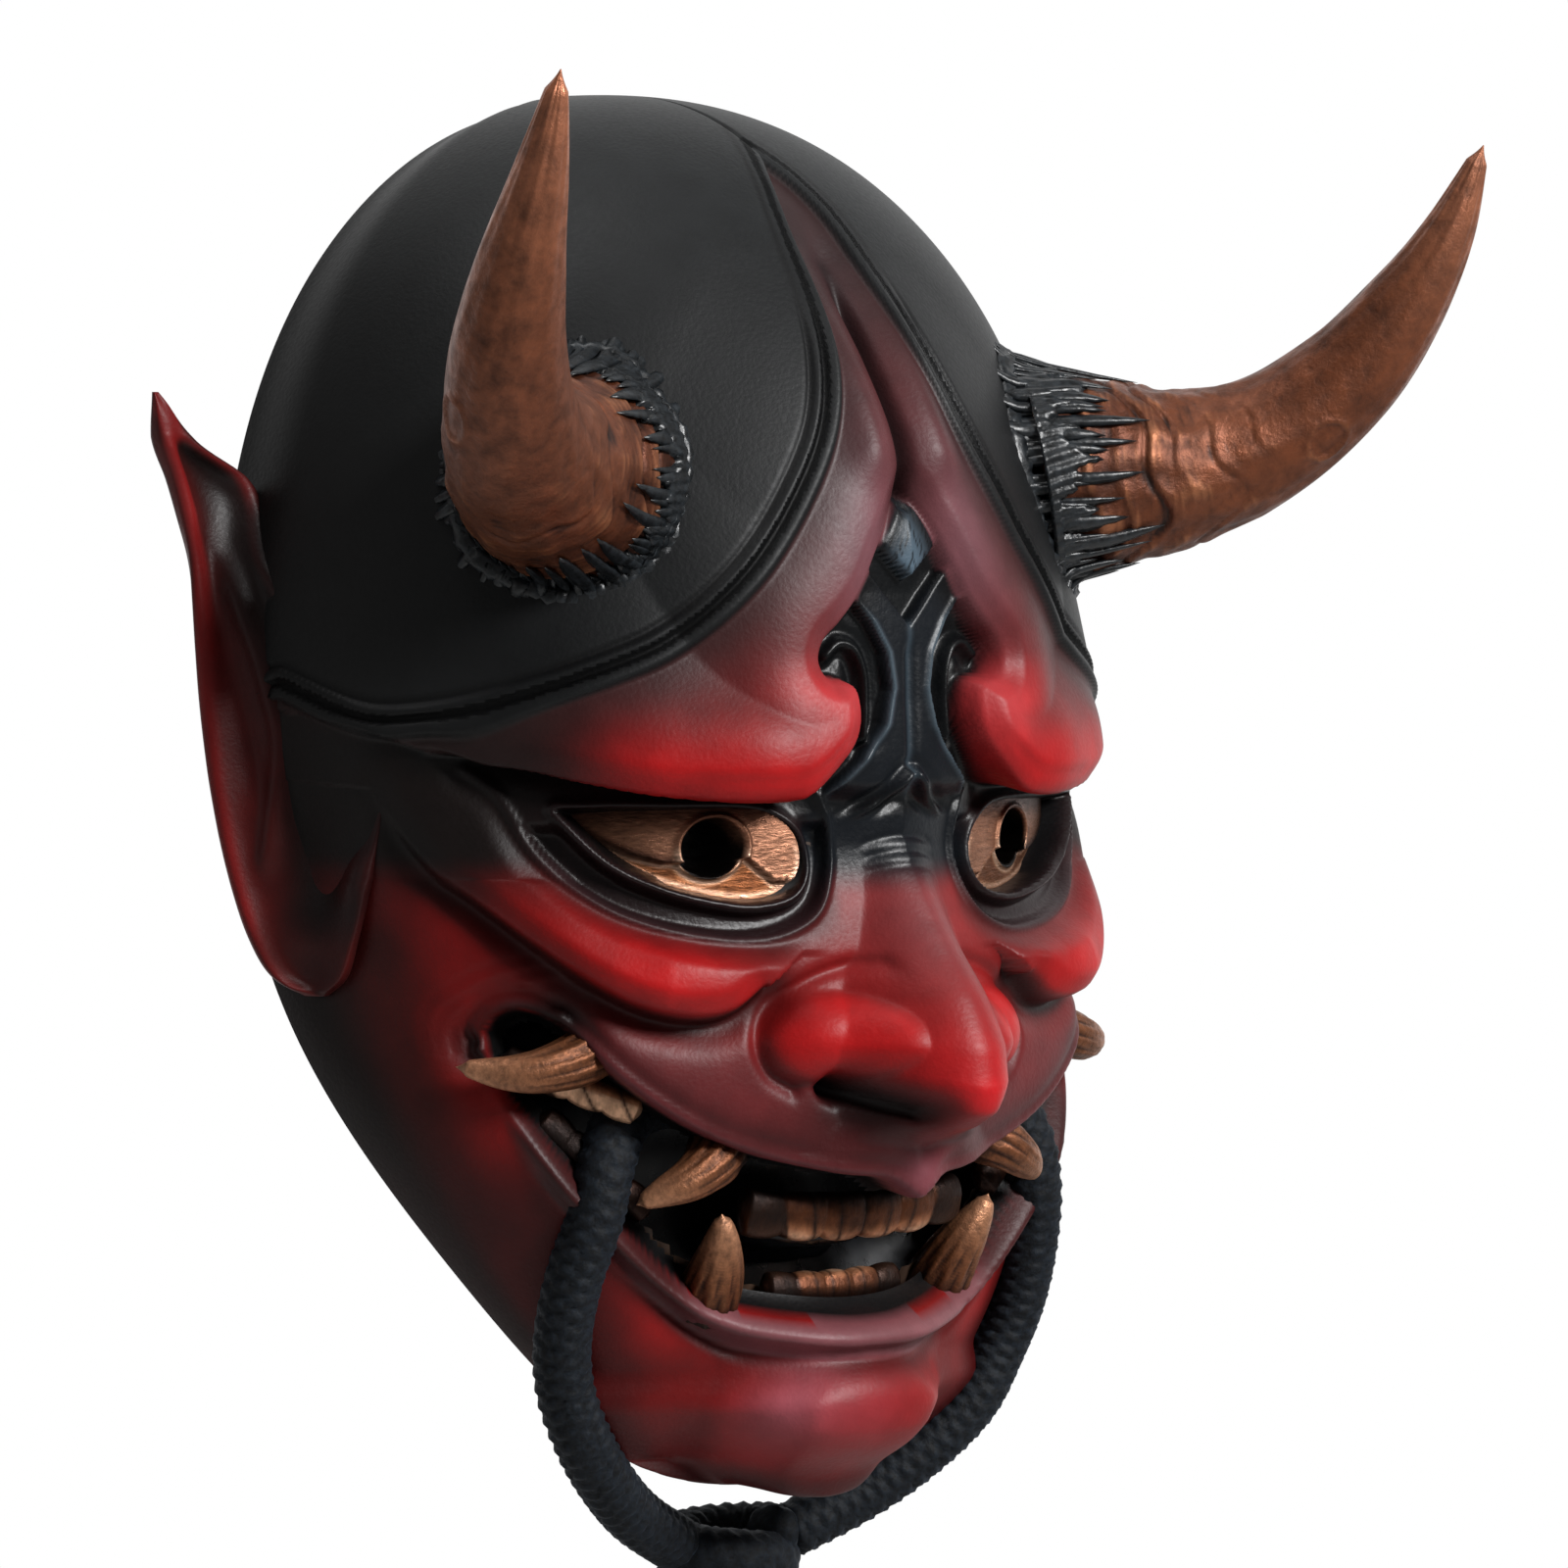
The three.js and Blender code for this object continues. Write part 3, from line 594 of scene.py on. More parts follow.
    # lids: a rim line round the socket, a band that slopes in, and the lid's edge at the eye
    rim, _, _ = LID_RIM.read(g, z)
    in_rim = LID_RIM.holds(g, z, [(24, 10), (47, 13.5), (70, 17)])
    rim = np.where(in_rim, rim, -rim)
    low_lid = ease((5 - z) / 3)
    trough = ease(rim / 1.4) * ease((eye - 1.2) / 1.6)
    out += under * (1.0 * bell(rim, 0.9) - 2.0 * trough * low_lid) * ease((z + 18) / 2)
    out += under * 1.2 * bell(np.abs(eye) - 0.6, 1.0) * ease((rim + 1) / 2)
    out -= 5.8 * ease((0.5 - eye) / 1.7)

    # cheeks: a full ball under the eye that runs up to the temple, with a sharp fold below
    fold, fold_along, _ = CHEEK_FOLD.read(g, z)
    below_fold = CHEEK_FOLD.holds(g, z, [(22, -17), (-10, -17), (-10, -120), (140, -120), (140, 12)])
    fold = np.where(below_fold, -fold, fold)
    full = np.interp(fold_along, [0, 0.25, 0.5, 0.75, 1], [1.0, 2.8, 4.8, 6.2, 4.6])
    ball = ease((fold + 1.6) / 2.6) * (0.62 + 0.38 * ease(fold / 5)) * ease(1 - fold / 26)
    outer = ease(-rim / 5) * under
    out += outer * full * ball * ease((g - 15) / 18)
    out += outer * 2.4 * bell(np.hypot((g - 42) / 1.5, z + 19), 7)
    out -= 2.6 * bell(np.minimum(fold + 1.4, 0), 3.4) * ease((1.6 - fold) / 3) * ease(fold_along / 0.4)

    # jaw: hollow between the cheekbone and the corner of the mouth
    out -= 2.4 * bell(np.hypot((g - 92) / 1.2, z + 22), 15)

    # nose: a narrow bridge that widens to a full, drooping tip, and flat wings
    profile = np.interp(
        z, [-60, -52, -48, -46, -43.5, -40, -36, -31, -24, -18, -12, -4, 2, 8],
        [5.6, 6.4, 7.6, 10.5, 16, 20.6, 22, 20.6, 16, 11, 7, 2.5, 0, 0],
    )
    half = np.interp(
        z, [-60, -48, -44, -38, -32, -24, -16, -8, 0], [24, 11, 8.6, 10.4, 10.6, 8.4, 6, 4.6, 4.4]
    )
    ridge = np.maximum(0, 1 - (g / (half * 1.9)) ** 2) ** 1.6
    front += profile * ridge * (z < 6)
    side = bell(g, 22) * np.interp(z, [-60, -46, -34, -10, 0], [5, 4.2, 3.2, 1.2, 0])
    front += np.maximum(0, side) * (1 - ridge)
    wing = np.maximum(0, 1 - ((g - 19.2) / 11) ** 2 - ((z + 31 + (g - 19.6) * 0.14) / 7.6) ** 2)
    front += 4.6 * wing
    out += 1.2 * wing
    crease, _, _ = ALA_CREASE.read(g, z, 20)
    out -= 1.4 * bell(crease, 1.3)
    nostril, _, _ = NOSTRIL.read(g, z, 20)
    front -= 6.0 * bell(nostril, 2.0)
    rise -= 3.4 * bell(np.hypot(g / 1.3, z + 38), 8)

    # upper lip: the muzzle swells to a thin turned-out edge with a point in the middle
    above_lip = face * ease((upper - lower + 60) / 60) * (upper <= lower + 3)
    out += 3.4 * above_lip * ease(1 - upper / 24) * ease((78 - g) / 20)
    out += above_lip * (0.9 * bell(upper - 1.2, 1.0) - 0.5 * bell(upper - 3.4, 1.1))
    front += 2.2 * bell(np.hypot(g / 1.2, z + 54), 4.5) * face
    front -= 1.2 * bell(g, 2.6) * ease((z + 55) / 4) * ease((-45 - z) / 4)
    rise -= 1.6 * bell(g, 3.6) * bell(upper - 1, 2.5) * face

    # lower lip: a flat band with a crisp edge, then a groove over the chin
    band, _, _ = LOWER_LIP_OUTER.read(g, z)
    below_lip = (mouth > -0.6) & (lower < upper)
    out += np.where(below_lip, 2.8 * face * ease(1 - (lower - 2.2) / 6), 0) * ease((84 - g) / 12)
    out += np.where(below_lip, 0.5 * bell(lower - 1.2, 0.8), 0) * ease((58 - g) / 8)
    out -= 1.8 * bell(band - 0.6, 2.0) * ease((66 - g) / 14)

    # chin: broad and square, with a soft dimple, and a flat underside
    front += (12.5 * bell(z + 99, 9.5) + 2 * bell(z + 90, 5)) * bell(g, 31)
    front -= 0.8 * bell(np.hypot(g / 1.1, z + 98), 6)
    spread += 6.0 * ease((-86 - z) / 8) * ease(g / 16) * (z < -84)
    rise -= 2.2 * ease((-92 - z) / 12) * bell(g, 32)

    # everything inside the mouth's outline turns sharply in
    out -= 6.9 * ease((0.4 - mouth) / 1.9)

    # wrinkles that ring the root of the corner fang
    ring, _, _ = FANG_HOLLOW.read(g, z, 30)
    out -= face * 3.4 * bell(ring, 6) * ease((ring + 1) / 3)
    for radius, depth in ((5.5, 0.5), (8, 0.45), (10.5, 0.35)):
        out -= face * depth * bell(ring - radius, 0.9) * (z > -34) * bell(g - 82, 16)

    # hair: a smooth cap that stands a little proud, with two grooves along its hem
    hair, hair_along, _ = HAIRLINE.read(g, z)
    in_hair = HAIRLINE.holds(g, z, [(150, 30), (150, 150), (-1, 150), (-1, 113)])
    hair = np.where(in_hair, hair, -hair)
    hem = ease((hair_along - 0.12) / 0.12)
    out += 1.6 * ease((hair + 0.6) / 1.5)
    for away, depth, width in ((3.0, 0.8, 0.6), (5.8, 0.65, 0.55)):
        out -= depth * bell(hair - away, width) * hem
    out += 0.4 * bell(hair - 4.4, 0.8) * hem
    out -= 0.5 * bell(g, 1.1) * ease((z - 112) / 6)

    # the rim stays plain, so the mask lies flat
    plain = ease((127 - g) / 16)
    read = {
        "eye": eye, "mouth": mouth, "upper": upper, "lower": lower, "below_lip": below_lip,
        "brow": brow, "cleft": cleft, "under": under, "middle": middle, "rim": rim, "ring": ring,
        "fold": fold, "fold_along": fold_along, "wing": wing, "nostril": nostril, "band": band,
        "hair": hair, "raised": raised, "inside": inside, "chip": chip,
    }
    return out * plain - drawn_in(girth, z), front * plain, spread * plain, rise * plain, read


def shade(amount, under, over):
    """Lays one airbrushed colour over another, as strongly as amount says."""
    amount = np.clip(amount, 0, 1)[:, None]
    return under * (1 - amount) + np.asarray(over, float) * amount


def face_colours(girth, z, read):
    """The paint at each vertex, painted highlights and shade included, as 0 to 255 screen values, and how
    matt it is.
    """
    g = np.abs(girth)
    colour = np.tile(np.array([122.0, 22, 22]), (len(g), 1))
    brow, rim, fold, under = read["brow"], read["rim"], read["fold"], read["under"]
    upper, lower, mouth = read["upper"], read["lower"], read["mouth"]
    wing = ease(read["wing"] * 2)

    # lower face: brighter red on the swellings, partly painted highlight; darker towards the temples, the
    # sides and the jaw, partly painted shade; painted shade in every hollow
    # brighter red on the cheek ball: partly painted highlight
    colour = shade(0.9 * bell(np.hypot((g - 46) / 1.7, z + 20), 9), colour, (168, 30, 32))
    colour = shade(0.8 * bell(g, 13) * bell(z + 12, 15), colour, (112, 66, 68))
    colour = shade(0.5 * bell(g - 24, 9) * bell(z + 14, 9), colour, (96, 46, 46))
    colour = shade(0.95 * bell(np.hypot(g / 1.5, z + 37), 8), colour, (176, 36, 40))
    colour = shade(0.9 * wing, colour, (160, 28, 30))
    # darker towards the temples: partly painted shade
    colour = shade(0.95 * ease((g - 54) / 22) * ease((z + 13) / 14), colour, (20, 11, 10))
    # painted shade under the cheek ball, towards the ear
    shade_behind_cheek = ease((g - 82) / 18) * ease((-2 - z) / 14) * ease((z + 74) / 30)
    colour = shade(0.85 * shade_behind_cheek, colour, (44, 11, 9))
    # darker towards the rim at the sides: partly painted shade
    colour = shade(0.9 * ease((g - 102) / 16), colour, (15, 8, 7))
    colour = shade(0.6 * bell(np.hypot((g - 86) / 0.9, z + 54), 14), colour, (122, 16, 15))
    # painted shade in the crease under the cheek fold
    hollow = ease((1.2 - fold) / 1.6) * bell(np.minimum(fold, 0), 5)
    colour = shade(0.85 * hollow * ease(read["fold_along"] / 0.3), colour, (28, 8, 8))

    # muzzle and lips: dull mauve, darker towards the corner, with painted shadow under the nose, painted
    # highlights along the lips' edges and painted shade in the groove over the chin
    muzzle = ease((-fold - 1) / 7) * ease((z + 62) / 6) * ease((-24 - z) / 4) * ease((76 - g) / 12)
    muzzle = muzzle * ease((24 - upper) / 12) * ease((np.hypot(g / 1.5, z + 37) - 6) / 6)
    muzzle = muzzle * (1 - wing)
    colour = shade(0.9 * muzzle, colour, (88, 36, 38))
    colour = shade(0.6 * muzzle * bell(upper - 4, 3), colour, (52, 20, 21))
    # painted highlight along the upper lip's edge and on its middle point
    lip_edge_highlight = bell(upper - 1.0, 1.1) * (upper <= lower) * ease((82 - g) / 8)
    colour = shade(0.8 * lip_edge_highlight, colour, (112, 62, 66))
    colour = shade(0.75 * bell(np.hypot(g / 1.5, z + 52.5), 4.5), colour, (132, 82, 90))
    # painted shadow under the nose
    colour = shade(0.85 * bell(np.hypot((g - 13) / 2.0, z + 43.0), 4.6), colour, (22, 5, 5))
    lip = np.where(read["below_lip"], ease((7.6 - lower) / 1.2), 0) * ease((84 - g) / 8)
    colour = shade(0.95 * lip, colour, (106, 66, 70))
    colour = shade(0.55 * lip * ease((g - 36) / 25), colour, (48, 20, 20))
    # painted highlight along the lower lip's edge
    colour = shade(0.35 * lip * bell(lower - 1.4, 0.9) * ease((56 - g) / 8), colour, (150, 112, 116))
    # painted shade in the groove over the chin
    chin_groove_shade = bell(read["band"] - 1.5, 2.6) * (1 - lip) * ease((70 - g) / 12)
    colour = shade(0.8 * chin_groove_shade, colour, (50, 6, 7))
    lip_root = ease((g - 46) / 10) * ease((-40 - z) / 8) * ease((5.0 - lower) / 2) * ease((84 - g) / 6)
    colour = shade(0.8 * lip_root, colour, (58, 24, 24))

    # chin and jaw: painted highlights on the chin, a stronger one on its right-hand side only, and painted
    # shade down the jaw and under the chin
    # painted highlights on the chin; the second lies on its right-hand side only
    chin = bell(np.hypot(g / 1.35, z + 94), 8.5) * ease((-86 - z) / 3)
    colour = shade(0.55 * chin, colour, (138, 56, 62))
    colour = shade(0.8 * bell(np.hypot((girth + 22) / 2.0, z + 92.5), 7.5), colour, (168, 104, 114))
    # painted shade down the jaw and under the chin
    colour = shade(0.6 * ease((g - 60) / 22) * ease((-44 - z) / 16), colour, (30, 4, 4))
    colour = shade(0.75 * ease((-101 - z) / 5), colour, (42, 6, 6))
    colour = shade(0.5 * ease((g - 34) / 12) * ease((-80 - z) / 8), colour, (60, 8, 8))

    # sockets, lids and ornament: warm black, with painted highlights on the lid rims and on the ornament's
    # raised edges, and painted shade in its sunken parts and under the brow
    colour = shade(0.98 * ease((rim + 0.9) / 1.5) * under, colour, (17, 17, 19))
    colour = shade(0.8 * under * ease((rim - 0.8) / 1.2) * ease((5 - z) / 3), colour, (7, 8, 11))
    # painted highlight along the lid rim
    colour = shade(0.55 * under * bell(rim - 0.2, 0.8) * ease((z + 18) / 4), colour, (74, 60, 66))
    colour = shade(0.6 * bell(np.minimum(rim, 0), 3.4) * under * ease((g - 12) / 3), colour, (36, 17, 17))
    root = under * ease((z + 8.5) / 7) * ease((21 - g) / 4)
    colour = shade(root, colour, (17, 20, 24))
    # painted shade in the ornament's sunken parts
    colour = shade(0.75 * read["middle"] * (1 - read["raised"]) * (1 - read["chip"]), colour, (6, 7, 8))
    # painted highlights on the trunk's raised edges and along the crease down its middle
    strap_edge_highlight = read["middle"] * read["raised"] * bell(read["inside"] - 0.9, 0.8)
    colour = shade(0.8 * strap_edge_highlight, colour, (84, 96, 104))
    colour = shade(0.6 * read["middle"] * read["raised"] * bell(g, 0.7), colour, (70, 82, 90))
    colour = shade(0.85 * read["middle"] * read["chip"], colour, (96, 112, 124))
    cracks = np.sin(g * 5.2 + 1.6 * np.sin(z * 1.9)) * np.sin(z * 0.7 + g)
    colour = shade(0.9 * read["middle"] * read["chip"] * ease((cracks - 0.35) / 0.4), colour, (16, 18, 20))
    # painted shadow under the brow's edge and in the socket's outer corner
    colour = shade(0.9 * under * bell(brow, 3.4) * ease((z - 5) / 2), colour, (10, 10, 11))
    outer_corner_shade = under * ease((z + 4) / 4) * ease((g - 58) / 14) * ease((24 - z) / 8)
    colour = shade(0.7 * outer_corner_shade, colour, (13, 10, 9))

    # brows and forehead: red at the edge, through mauve, to the black hair, with a painted highlight on
    # each brow lobe, partly painted shade towards the temples and painted shade in the cleft
    top = np.tile(np.array([88.0, 28, 28]), (len(g), 1))
    top = shade(0.95 * bell(brow - 3, 7) * ease((68 - g) / 22) * ease((34 - z) / 10), top, (160, 26, 28))
    top = shade(0.9 * bell(np.hypot((g - 11) / 1.1, (z - 52) / 2.1), 12), top, (112, 78, 84))
    # painted highlight on the brow lobe
    top = shade(0.55 * bell(np.hypot((g - 16), (z - 24)), 8), top, (172, 74, 76))
    top = shade(0.85 * ease((z - 74) / 26), top, (52, 44, 45))
    # darker towards the temples: partly painted shade
    top = shade(0.9 * ease((g - 50) / 24), top, (26, 12, 11))
    top = shade(0.75 * bell(np.minimum(read["hair"], 0), 7), top, (42, 30, 30))
    # painted shade in the cleft down the forehead
    top = shade(0.92 * bell(read["cleft"], 1.6), top, (14, 8, 8))
    top = shade(0.5 * bell(read["cleft"], 5), top, (46, 28, 30))
    painted = ease((brow + 0.7) / 0.9)
    colour = colour * (1 - painted[:, None]) + top * painted[:, None]

    grey = colour.mean(axis=1, keepdims=True)
    colour = np.clip(grey + (colour - grey) * 1.22, 0, 255) * 0.94
    hair = ease((read["hair"] + 0.6) / 1.0)
    colour = shade(hair, colour, (18, 19, 20))
    # darker towards the sides, partly painted shade, and lighter towards the top, a painted highlight
    colour = shade(0.6 * hair * ease((g - 60) / 40), colour, (13, 13, 13))
    colour = shade(0.5 * hair * ease((z - 84) / 30), colour, (36, 38, 39))
    # painted shade in the two grooves along the hem
    groove_shade = bell(read["hair"] - 3.0, 0.8) + bell(read["hair"] - 5.8, 0.8)
    colour = shade(0.8 * hair * groove_shade, colour, (6, 6, 7))

    inner = np.maximum(ease((0.3 - read["eye"]) / 0.7), ease((0.1 - mouth) / 0.7))
    colour = shade(inner, colour, (9, 8, 9))
    # painted shadow in the nostril and in the hollow round the corner fang's root
    colour = shade(0.9 * bell(read["nostril"], 2.2), colour, (10, 4, 4))
    colour = shade(0.85 * bell(read["ring"], 4.5) * ease((mouth + 0.2) / 0.6), colour, (20, 9, 8))

    matt = np.full(len(g), 0.38)
    matt = matt + 0.05 * ease((read["hair"] + 0.3) / 0.6)
    black = under * np.maximum(ease(rim / 1.0), root)
    return colour, matt - 0.1 * black


def lay_paint(piece, colour, matt):
    """Stores screen colours and roughness on a piece's vertices, for its material to read."""
    screen = np.clip(colour, 0, 255) / 255
    linear = np.where(screen <= 0.04045, screen / 12.92, ((screen + 0.055) / 1.055) ** 2.4)
    paint = piece.data.color_attributes.new("paint", "FLOAT_COLOR", "POINT")
    full = np.concatenate([linear, np.ones((len(linear), 1))], axis=1)
    paint.data.foreach_set("color", full.astype(np.float32).ravel())
    gloss = piece.data.attributes.new("matt", "FLOAT", "POINT")
    gloss.data.foreach_set("value", matt.astype(np.float32))


def add_laid_paint(nodes, links, shader, gain):
    """The colour laid on the vertices, made lighter and darker by the gain, as the base colour."""
    laid = nodes.new("ShaderNodeAttribute")
    laid.attribute_name = "paint"
    mixed = nodes.new("ShaderNodeVectorMath")
    mixed.operation = "SCALE"
    links.new(laid.outputs["Color"], mixed.inputs[0])
    links.new(gain, mixed.inputs["Scale"])
    links.new(mixed.outputs["Vector"], shader.inputs["Base Color"])


def satin_paint(name):
    """Airbrushed satin paint over a sanded ground: colour and gloss come from the piece's own
    attributes, with a faint leathery grain and fine speckle."""
    paint, nodes, links, shader, place = finish(name)
    set_inputs(shader, Specular_IOR_Level=0.24)
    cloud = add_noise(nodes, links, place, 160, 6)
    add_laid_paint(nodes, links, shader, add_range(nodes, links, cloud, 0.82, 1.12, 0.3, 0.7))
    grain = add_noise(nodes, links, place, 1300, 3)
    gloss = nodes.new("ShaderNodeAttribute")
    gloss.attribute_name = "matt"
    rough = nodes.new("ShaderNodeMath")
    rough.operation = "MULTIPLY_ADD"
    rough.inputs[1].default_value = 0.16
    links.new(grain.outputs["Fac"], rough.inputs[0])
    links.new(gloss.outputs["Fac"], rough.inputs[2])
    links.new(rough.outputs["Value"], shader.inputs["Roughness"])
    add_bump(nodes, links, grain, shader, 0.25, 0.00025)
    return paint


# The grid's columns and rows: about half a millimetre apart on the front of the face.
FACE_COLUMNS, FACE_ROWS = 402, 378
carving = bmesh.new()
girth, height = head_grid(carving, FACE_COLUMNS, FACE_ROWS)
out, front, spread, rise, read = carve(girth, height)
skin = on_head(girth, height)
skin = skin + head_normal(girth, height) * out[:, None]
skin[:, 0] += np.sign(girth) * spread
skin[:, 1] -= front
skin[:, 2] += rise
skin[:, 1] = np.minimum(skin[:, 1], 0)
move_points(carving, skin)
carving.verts.ensure_lookup_table()
# The lips' edges and the underside of the chin are sanded smooth.
edges_worn = (np.abs(read["mouth"] + 0.4) < 2.6) & (np.abs(girth) < 84)
under_chin = (height < -97) & (np.abs(girth) < 62)
for chosen, passes in ((edges_worn, 7), (under_chin, 16)):
    worn = [carving.verts[i] for i in np.flatnonzero(chosen)]
    for _ in range(passes):
        bmesh.ops.smooth_vert(
            carving, verts=worn, factor=0.5, use_axis_x=True, use_axis_y=True, use_axis_z=True
        )
colour, matt = face_colours(girth, height, read)
face_paint = satin_paint("face_paint")
opening = (read["eye"] < -1.8) | (read["mouth"] < -2.0)
hole = (np.hypot(skin[:, 1] - EYELET[0], height - EYELET[1]) < EYELET[2]) & (np.abs(girth) > 60)
cap = read["hair"]  # how far a point lies above the hairline
# Red face and black hair cap are parted along the groove at the hairline.
for name, slot, gone in (
    ("face_skin", "red_paint", opening | hole | (cap > 3.6)),
    ("hair_cap", "hair_black", hole | (cap < 2.4)),
):
    part_form = carving.copy()
    grid_place = {v: v.index for v in part_form.verts}
    far_faces = [f for f in part_form.faces if all(gone[v.index] for v in f.verts)]
    bmesh.ops.delete(part_form, geom=far_faces, context="FACES")
    kept = [grid_place[v] for v in part_form.verts]
    piece = new_piece(name, part_form, face_paint)
    lay_paint(piece, colour[kept], matt[kept])
    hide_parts("mask_shell")
carving.free()

# ---- inner wall and rim -------------------------------------------------------------------------
# The hollow side of the shell: bare wood under thin brown-black lacquer, with gouge marks, and the
# flat rim that joins it to the outside. It belongs to the same carved piece as the face.
WALL = 7.0

inner_form = bmesh.new()
RIM_CELLS, HALF_CELLS = 4, 84  # cells across the rim, and from the rim to the middle
bmesh.ops.create_grid(inner_form, x_segments=2 * HALF_CELLS, y_segments=2 * HALF_CELLS, size=1.0)
flat = points_of(inner_form)
ring = np.max(np.abs(flat[:, :2]), axis=1)
cells = np.rint((1 - ring) * HALF_CELLS).astype(int)
shrunk = np.minimum(ring / (1 - RIM_CELLS / HALF_CELLS), 1)
flat[:, :2] *= (shrunk / np.maximum(ring, 1e-9))[:, None]
girth, height = head_place(flat[:, 0], flat[:, 1], 0.62)
inward = np.interp(cells, [0, 1, 2, RIM_CELLS - 1, RIM_CELLS], [0, 0.5, 2.5, WALL - 0.7, WALL])
gouge = 0.28 * np.sin(girth * 0.9 + 2.2 * np.sin(height * 0.31)) * np.sin(height * 0.55 + girth * 0.21)
skin = on_head(girth, height, inward + np.where(cells > RIM_CELLS, gouge, 0))
skin[:, 0] -= np.sign(girth) * drawn_in(girth, height)
rim_round = np.interp(cells, [0, 1, RIM_CELLS - 1, RIM_CELLS], [0, 0.35, 0.35, -0.3])
skin[:, 1] = np.minimum(skin[:, 1] + rim_round - 0.35, -0.0)
move_points(inner_form, skin)
g = np.abs(girth)
open_eye = EYE.holds(g, height)
open_mouth = UPPER_LIP.holds(g, height, LOWER_LIP.points[::-1])
hole = np.hypot(skin[:, 1] - EYELET[0], height - EYELET[1]) < EYELET[2]
doomed = [v for v, gone in zip(inner_form.verts, open_eye | open_mouth | hole) if gone]
bmesh.ops.delete(inner_form, geom=doomed, context="VERTS")
bmesh.ops.reverse_faces(inner_form, faces=inner_form.faces)
# Brown-black lacquer brushed thinly over wood: the grain runs up the mask and shows through.
wood_lacquer = mottled(
    "wood_lacquer", (260, 260, 22), 7, (0.32, (0.008, 0.005, 0.004)), (0.75, (0.075, 0.036, 0.018)),
    rough=(0.38, 0.66), bump=(0.5, 0.0006),
)
inner = new_piece("inner_wall", inner_form, wood_lacquer)
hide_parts("mask_shell")

# ---- gilt work ----------------------------------------------------------------------------------
# Eyes, teeth and horns are finished in copper-bronze leaf over lacquer: worn and streaked along the
# piece, with painted shade in the hollows and painted highlights on the edges.


def bronze_leaf(name, streak, metal=0.72, rough=0.36, bump_size=0.0004):
    """Rubbed bronze: its colour lies on the piece's vertices, streaks follow the given scale."""
    leaf, nodes, links, shader, place = finish(name)
    set_inputs(shader, Metallic=metal)
    wear = add_noise(nodes, links, place, streak, 8)
    set_inputs(wear, Roughness=0.65)
    add_laid_paint(nodes, links, shader, add_range(nodes, links, wear, 0.45, 1.35, 0.3, 0.7))
    gloss = add_range(nodes, links, wear, rough + 0.18, rough - 0.08, 0.3, 0.7)
    links.new(gloss, shader.inputs["Roughness"])
    add_bump(nodes, links, wear, shader, 0.7, bump_size)
    return leaf


def mirror_points(piece_points, side):
    """Built on the mask's left, +X; the right-hand piece is its mirror image."""
    mirrored = piece_points.copy()
    mirrored[:, 0] *= side
    return mirrored


# ---- eye plates ---------------------------------------------------------------------------------
# A plate of gilt sheet fitted behind each pair of lids: a full upper part, a lower band set back
# behind an edge with a painted highlight, and a round sight hole with a turned rim; the sight hole's
# sunk bore is painted black as painted shade. Pinched between lids and wall.
PUPIL_X, PUPIL_R = 33.0, 5.0
eye_leaf = bronze_leaf("eye_leaf", (420, 420, 1500), 0.85, 0.3)


def plate_ridge(girth):
    """The level of the ridge that runs across the plate: the lower part lies a step deeper."""
    return np.interp(
        girth, [24.5, 30, 33, 40, 45, 50, 55.5, 60], [-6.1, -1.9, -2.2, -2.7, -2.7, -1.5, 0.7, 3.4]
    )


